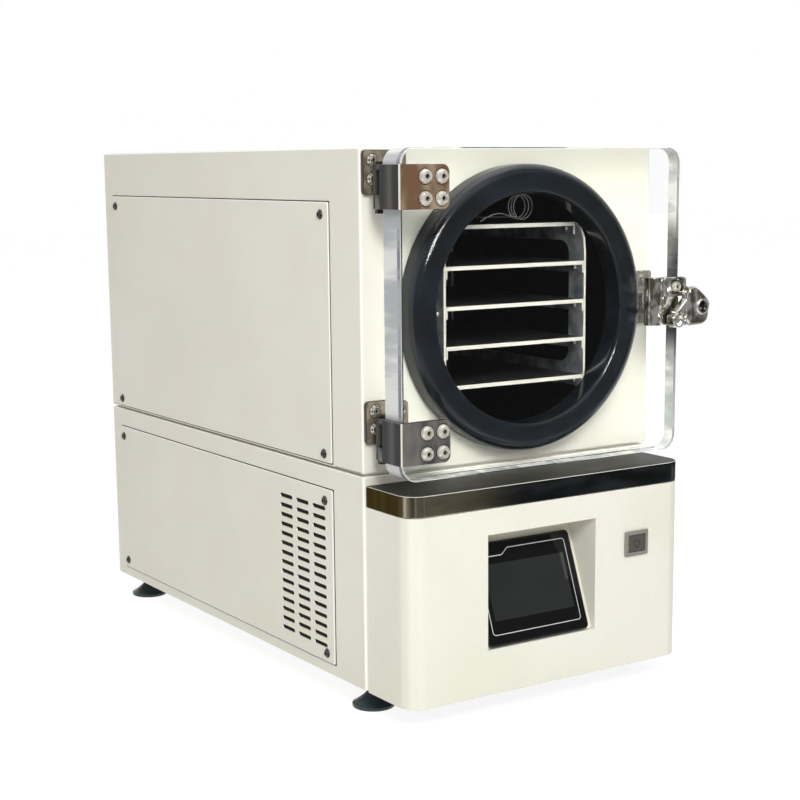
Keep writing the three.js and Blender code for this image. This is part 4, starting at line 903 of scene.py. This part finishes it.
def bowl(x, z, radius, front, depth):  # a hollow with a rounded floor, cut from the front
    profile = [(0, front - 2), (radius + 1, front - 2), (radius + 1, front)]
    profile += [(radius * math.cos(a), front + depth * math.sin(a)) for a in (0.15, 0.4, 0.7, 1.0, 1.3)]
    return turned(profile + [(0, front + depth)], (x, z), "y", 36)


def addLever():
    s = leverSizes
    x, z, holeRadius = s["hole"]
    atX, atZ = latchSizes["spindleAt"]
    spindleRadius = latchSizes["spindle"]
    grip = drawn(tangentOutline(s["lobes"]), "y", (s["front"], s["back"]), s["bevel"], 4)
    web = drawn(tangentOutline(s["web"]), "y", (s["webFront"], s["back"]), 1)
    arms = [drawn(tangentOutline(ends), "y", (s["armFront"], s["back"]), 2.6, 4) for ends in s["arms"]]
    knob = drawn(roundOutline(s["knob"][:2], s["knob"][2], 44), "y", (s["knobFront"], s["back"]), 1.6, 4)
    ring = drawn(roundOutline((x, z), s["ring"], 40), "y", (s["front"] - s["ringRise"], s["front"] + 4), 1.4)
    collar = drawn(roundOutline((atX, atZ), s["collar"], 40), "y", (s["back"] - 2, latchSizes["front"] - 0.3))
    spindle = drawn(roundOutline((atX, atZ), spindleRadius), "y", (s["back"] - 2, s["fingerBack"]))
    fingerOutline = roundedOutline((atX - spindleRadius, atZ - s["fingerHalf"]),
                                   (atX + s["fingerReach"], atZ + s["fingerHalf"]), 3)
    finger = drawn(fingerOutline, "y", (s["fingerFront"], s["fingerBack"]), 0.6)
    socket = drawn(roundOutline((x, z), holeRadius, 40), "y", (s["front"] - 5, s["front"] + s["holeDepth"]))
    shape = cut(fused(grip, web, *arms, knob, ring, collar), socket,
                bowl(*s["knob"][:2], s["knobDish"], s["knobFront"], s["knobDepth"]))
    addPiece("latch_handle", fused(shape, spindle, finger), "chrome", "latch_lever")
    addHeads("lever_core", [(x, s["front"] + s["holeDepth"], z, 0)], "core", "darkScrew", "lever")


addLatchBody()
addLever()
softened("latch_keeper", "keeper", 0.5)
print("latch made")

screenSizes = {
    "width": 144, "height": 118, "thick": 6, "corner": 6, "border": 2.5, "tilt": 21, "foot": (182.3, -86.3, 53),
    "film": (0.2, 1.1), "body": 110, "bodyZ": (24, 94), "bodyDepth": 28,
}
filmSizes = {
    "middle": (182.55, 60.2), "half": (63.0, 48.2), "corner": 4.0, "line": 0.45, "stepUp": 101.0, "stepRise": 7.4,
    "stepAcross": (152, 165), "displayAcross": (126, 240), "displayUp": (27.5, 92), "stripFrom": (236, 60),
}


def tilted(shape):
    s = screenSizes
    lean = Matrix.Translation(s["foot"]) @ Matrix.Rotation(math.radians(-s["tilt"]), 4, "X")
    bmesh.ops.transform(shape, matrix=lean, verts=shape.verts)
    return shape


def panelOutline(inset):
    s = screenSizes
    half = s["width"] / 2 - inset
    return roundedOutline((-half, inset), (half, s["height"] - inset), max(s["corner"] - inset, 1))


def screenFilm():  # black glass: a thin pale line with a stepped corner round a grey-green display
    paint = Paint("screen_film")
    across = paint.place("X")
    up = (paint.place("Z") - screenSizes["foot"][2]) * (1 / math.cos(math.radians(screenSizes["tilt"])))
    s = filmSizes
    pastX, pastUp = [abs(way - middle) - (half - s["corner"])
                     for way, middle, half in zip((across, up), s["middle"], s["half"])]
    outX, outUp = pastX.highest(0), pastUp.highest(0)
    box = (outX * outX + outUp * outUp).root() + pastX.highest(pastUp).lowest(0) - s["corner"]
    step = up - s["stepUp"] - s["stepRise"] * across.ramp(*s["stepAcross"])
    outline = abs(box.highest(step * 0.9)) < s["line"]
    display = across.between(*s["displayAcross"]) * up.between(*s["displayUp"])
    glow = paint.noise(0.05, 2)
    strip = display * (across > s["stripFrom"][0]) * (up > s["stripFrom"][1])
    glass = paint.mix(display, (0.006, 0.006, 0.006), (0.019, 0.021, 0.022))
    lit = paint.mix(strip * 0.6, glass, (0.10, 0.105, 0.10))
    shaded = paint.mix(display * glow * 0.5, lit, (0.035, 0.038, 0.036))
    colour = paint.mix(outline, shaded, (0.62, 0.62, 0.60))
    return paint.surface(colour, 0.07 + 0.05 * display, Specular_IOR_Level=0.25)


finishes["film"] = screenFilm()


def addScreen():
    s = screenSizes
    plate = drawn(panelOutline(0), "y", (0, s["thick"]), 0.8)
    pocket = drawn(panelOutline(s["border"]), "y", (-1, 1.4))
    back = block((-s["body"] / 2, s["body"] / 2), (s["thick"] - 1, s["bodyDepth"]), s["bodyZ"])
    addPiece("screen_frame", tilted(fused(cut(plate, pocket), back)), "gloss", "touch_panel")
    film = drawn(panelOutline(s["border"] + 0.3), "y", s["film"])
    addPiece("screen_film", tilted(film), "film", "touch_glass")


addScreen()

switchSizes = {
    "at": (322.8, 145.6), "width": 35.6, "height": 30.2, "border": 4.6, "proud": 3.2, "face": -87, "corner": 1.5,
    "bevel": 1.5, "collar": 2.4, "collarDepth": 16, "capSunk": 0.6, "capDepth": 9, "stem": 4, "stemEnd": 15,
}


def switchRect(inset, front, back, radius, edge=0):
    s = switchSizes
    half = (s["width"] / 2 - inset, s["height"] / 2 - inset)
    low, high = [[at + sign * size for at, size in zip(s["at"], half)] for sign in (-1, 1)]
    outline = roundedOutline(low, high, radius, 6)
    return drawn(outline, "y", (s["face"] + front, s["face"] + back), edge)


def addSwitch():
    s = switchSizes
    rim = switchRect(0, -s["proud"], -0.3, s["corner"], s["bevel"])
    collar = switchRect(s["collar"], -1, s["collarDepth"], 1)
    opening = switchRect(s["border"], -s["proud"] - 1, s["collarDepth"] + 1, 0.8)
    addPiece("switch_frame", cut(fused(rim, collar), opening), "switch", "power_bezel")
    cap = switchRect(s["border"] + 0.3, s["capSunk"] - s["proud"], s["capDepth"], 1.4, 1.1)
    stem = drawn(roundOutline(s["at"], s["stem"]), "y", (s["face"] + s["capDepth"] - 1, s["face"] + s["stemEnd"]))
    addPiece("switch_cap", fused(cap, stem), "switchCap", "power_button")


addSwitch()
print("touch panel and switch made")

footSizes = {
    "pad": [(0, -29), (24.2, -29), (25, -28.2), (25, -25.2), (24.4, -24.4), (21, -22.6), (14, -17.5), (9.4, -13.4),
            (8, -11), (0, -11)],
    "nut": 9, "nutZ": (-11.5, -0.3), "stem": 5, "stemZ": (-12, 22), "lockZ": (1.9, 9.6),
}


def addFeet():
    s = footSizes
    for end in ("front", "rear"):
        for side in ("left", "right"):
            node = f"foot_{end}_{side}"
            low, high = boxOf(node)
            at = ((low.x + high.x) / 2, (low.y + high.y) / 2)
            pad = turned(s["pad"], at, "z", 56)
            nut = drawn(roundOutline(at, s["nut"], 6), "z", s["nutZ"], 0.6)
            stem = drawn(roundOutline(at, s["stem"]), "z", s["stemZ"])
            lock = drawn(roundOutline(at, s["nut"], 6), "z", s["lockZ"])
            addPiece(node + "_fine", fused(pad, nut, stem, lock), "foot", node)


addFeet()

leadSizes = {
    "thick": 0.55, "start": [(176, 329.7, 532), (176, 316, 532)],
    "lay": [(190, 250, 3), (206, 150, 3), (222, 100, 5)],
    "tail": [(224, 48, 8), (208, 46, 13), (194, 46, 8), (184, 48, 2.2)],
    "coilX": 248, "coilRadius": 14.5, "coilFront": 62, "coilRise": 3, "pitch": 3, "turns": 3, "startAngle": -2.1708,
    "drift": 2.4, "spread": 0.7,
}


def addLead():
    s = leadSizes
    top = boxOf("shelf_5")[1].z
    points = list(s["start"]) + [(x, y, top + up) for x, y, up in s["lay"]]
    for i in range(s["turns"] * 16 + 1):
        turn = i / 16
        angle = s["startAngle"] + 2 * math.pi * turn
        past = turn - s["turns"] / 2
        radius = s["coilRadius"] + s["spread"] * past
        points.append((s["coilX"] + s["drift"] * past + radius * math.cos(angle), s["coilFront"] - s["pitch"] * turn,
                       top + s["coilRadius"] + s["coilRise"] + radius * math.sin(angle)))
    points += [(x, y, top + up) for x, y, up in s["tail"]]
    data = bpy.data.curves.new("lead_wire", "CURVE")
    data.dimensions, data.bevel_depth, data.bevel_resolution = "3D", s["thick"], 3
    data.use_fill_caps, data.resolution_u = True, 4
    line = data.splines.new("NURBS")
    line.points.add(len(points) - 1)
    for point, place in zip(line.points, points):
        point.co = (*place, 1)
    line.order_u, line.use_endpoint_u = 4, True
    drawnWire = placed("lead_wire_path", data)
    made = placed("lead_wire", baked(drawnWire))
    bpy.data.objects.remove(drawnWire)
    settle(made, "lead_wire", finishes["wire"], "cabinet", ("sensor_lead",))


addLead()
print("feet and lead made")

plainParts = {
    "base_shell": ("panel", 1.2), "upper_shell": ("panel", 1.3), "front_cover": ("cream", 0.9),
    "stainless_sill": ("cap", 1.1), "chamber_vessel": ("chamber", 0.6),
    **{f"shelf_{number}": ("rack", 0.25) for number in range(1, 6)},
    "rack_side_left": ("rack", 0.25), "rack_side_right": ("rack", 0.25),
    "cradle_front": ("zinc", 0.4), "cradle_rear": ("zinc", 0.4), "control_box": ("zinc", 0.6),
    "compressor": ("enamel", 1.5), "fan_shroud": ("enamel", 0.5), "fan_rotor": ("plastic", 0.4),
    "condenser": ("aluminium", 0.1), "discharge_line": ("copper", 0.2),
    "vacuum_fitting": ("flange", 0.5), "power_inlet": ("plastic", 0.4),
}
for node, (finish, edge) in plainParts.items():
    softened(node, finish, edge)
print("shells and inner parts finished")

studio = {
    "soft": 0.47, "dim": 0.16, "floor": 0.9, "glow": 1.2, "share": 0.74, "mirrorDim": 0.14, "mirrorFloor": 0.9,
    "lamps": {
        "key": ((-1.1, -2.6, 1.9), (0.9, 0.9), 58), "top": ((-0.2, 0.1, 2.4), (2.2, 2.2), 12),
    },
}


def rayKinds(graph):  # straight from the camera, by way of a mirror or glass, and by way of a mirror at some time
    camera, glossy, through, mirrors = [graph.add("ShaderNodeLightPath", output=name) for name in (
        "Is Camera Ray", "Is Glossy Ray", "Is Transmission Ray", "Glossy Depth")]
    return camera, glossy.highest(through), mirrors > 0.5


def makeWorld():
    world = bpy.data.worlds.new("studio")
    bpy.context.scene.world = world
    world.use_nodes = True
    sky = Graph(world.node_tree)
    direction = sky.add("ShaderNodeTexCoord", output="Generated")
    y = sky.add("ShaderNodeSeparateXYZ", {0: direction}, output=1)
    z = sky.add("ShaderNodeSeparateXYZ", {0: direction}, output=2)
    camera, seen, mirrored = rayKinds(sky)
    backdrop = y.ramp(-0.35, 0.15).highest(z.ramp(0.45, 0.8)).highest(1 - mirrored)
    shown = seen * (studio["dim"] + (1 - studio["dim"]) * backdrop)
    level = camera.highest(shown).highest((1 - seen) * studio["soft"])
    light = sky.add("ShaderNodeBackground", {"Color": sky.mix(level, (0, 0, 0), (1, 1, 1)), "Strength": 1})
    sky.add("ShaderNodeOutputWorld", {0: light})


def areaLight(name, place, size, power):
    data = bpy.data.lights.new(name, "AREA")
    data.shape, data.size, data.size_y, data.energy = "RECTANGLE", size[0], size[1], power
    lamp = placed(name, data)
    lamp.location = place
    lamp.rotation_euler = (Vector((0, 0, 0.3)) - Vector(place)).to_track_quat("-Z", "Y").to_euler()


def makeFloor():
    shape = bmesh.new()
    bmesh.ops.create_grid(shape, x_segments=1, y_segments=1, size=14)
    floor = asObject("floor", shape)
    paint = Paint("floor")
    camera, seen, mirrored = rayKinds(paint)
    dim = mirrored * (1 - paint.along("Y").ramp(-1.3, -0.45))  # the floor far in front stays dim in mirrors
    matt = paint.add("ShaderNodeBsdfDiffuse", {"Color": [studio["floor"]] * 3})
    reflected = paint.mix(dim, [studio["mirrorFloor"]] * 3, [studio["mirrorDim"]] * 3)
    level = paint.mix(seen, (1, 1, 1), reflected)
    glow = paint.add("ShaderNodeEmission", {"Color": level, "Strength": studio["glow"]})
    share = seen.highest(camera * studio["share"])
    floor.data.materials.append(paint.out(paint.add("ShaderNodeMixShader", {0: share, 1: matt, 2: glow})))


makeWorld()
makeFloor()
for name, (place, size, power) in studio["lamps"].items():
    areaLight(name, place, size, power)
bpy.context.scene.view_settings.view_transform = "Standard"
print("light and floor set")
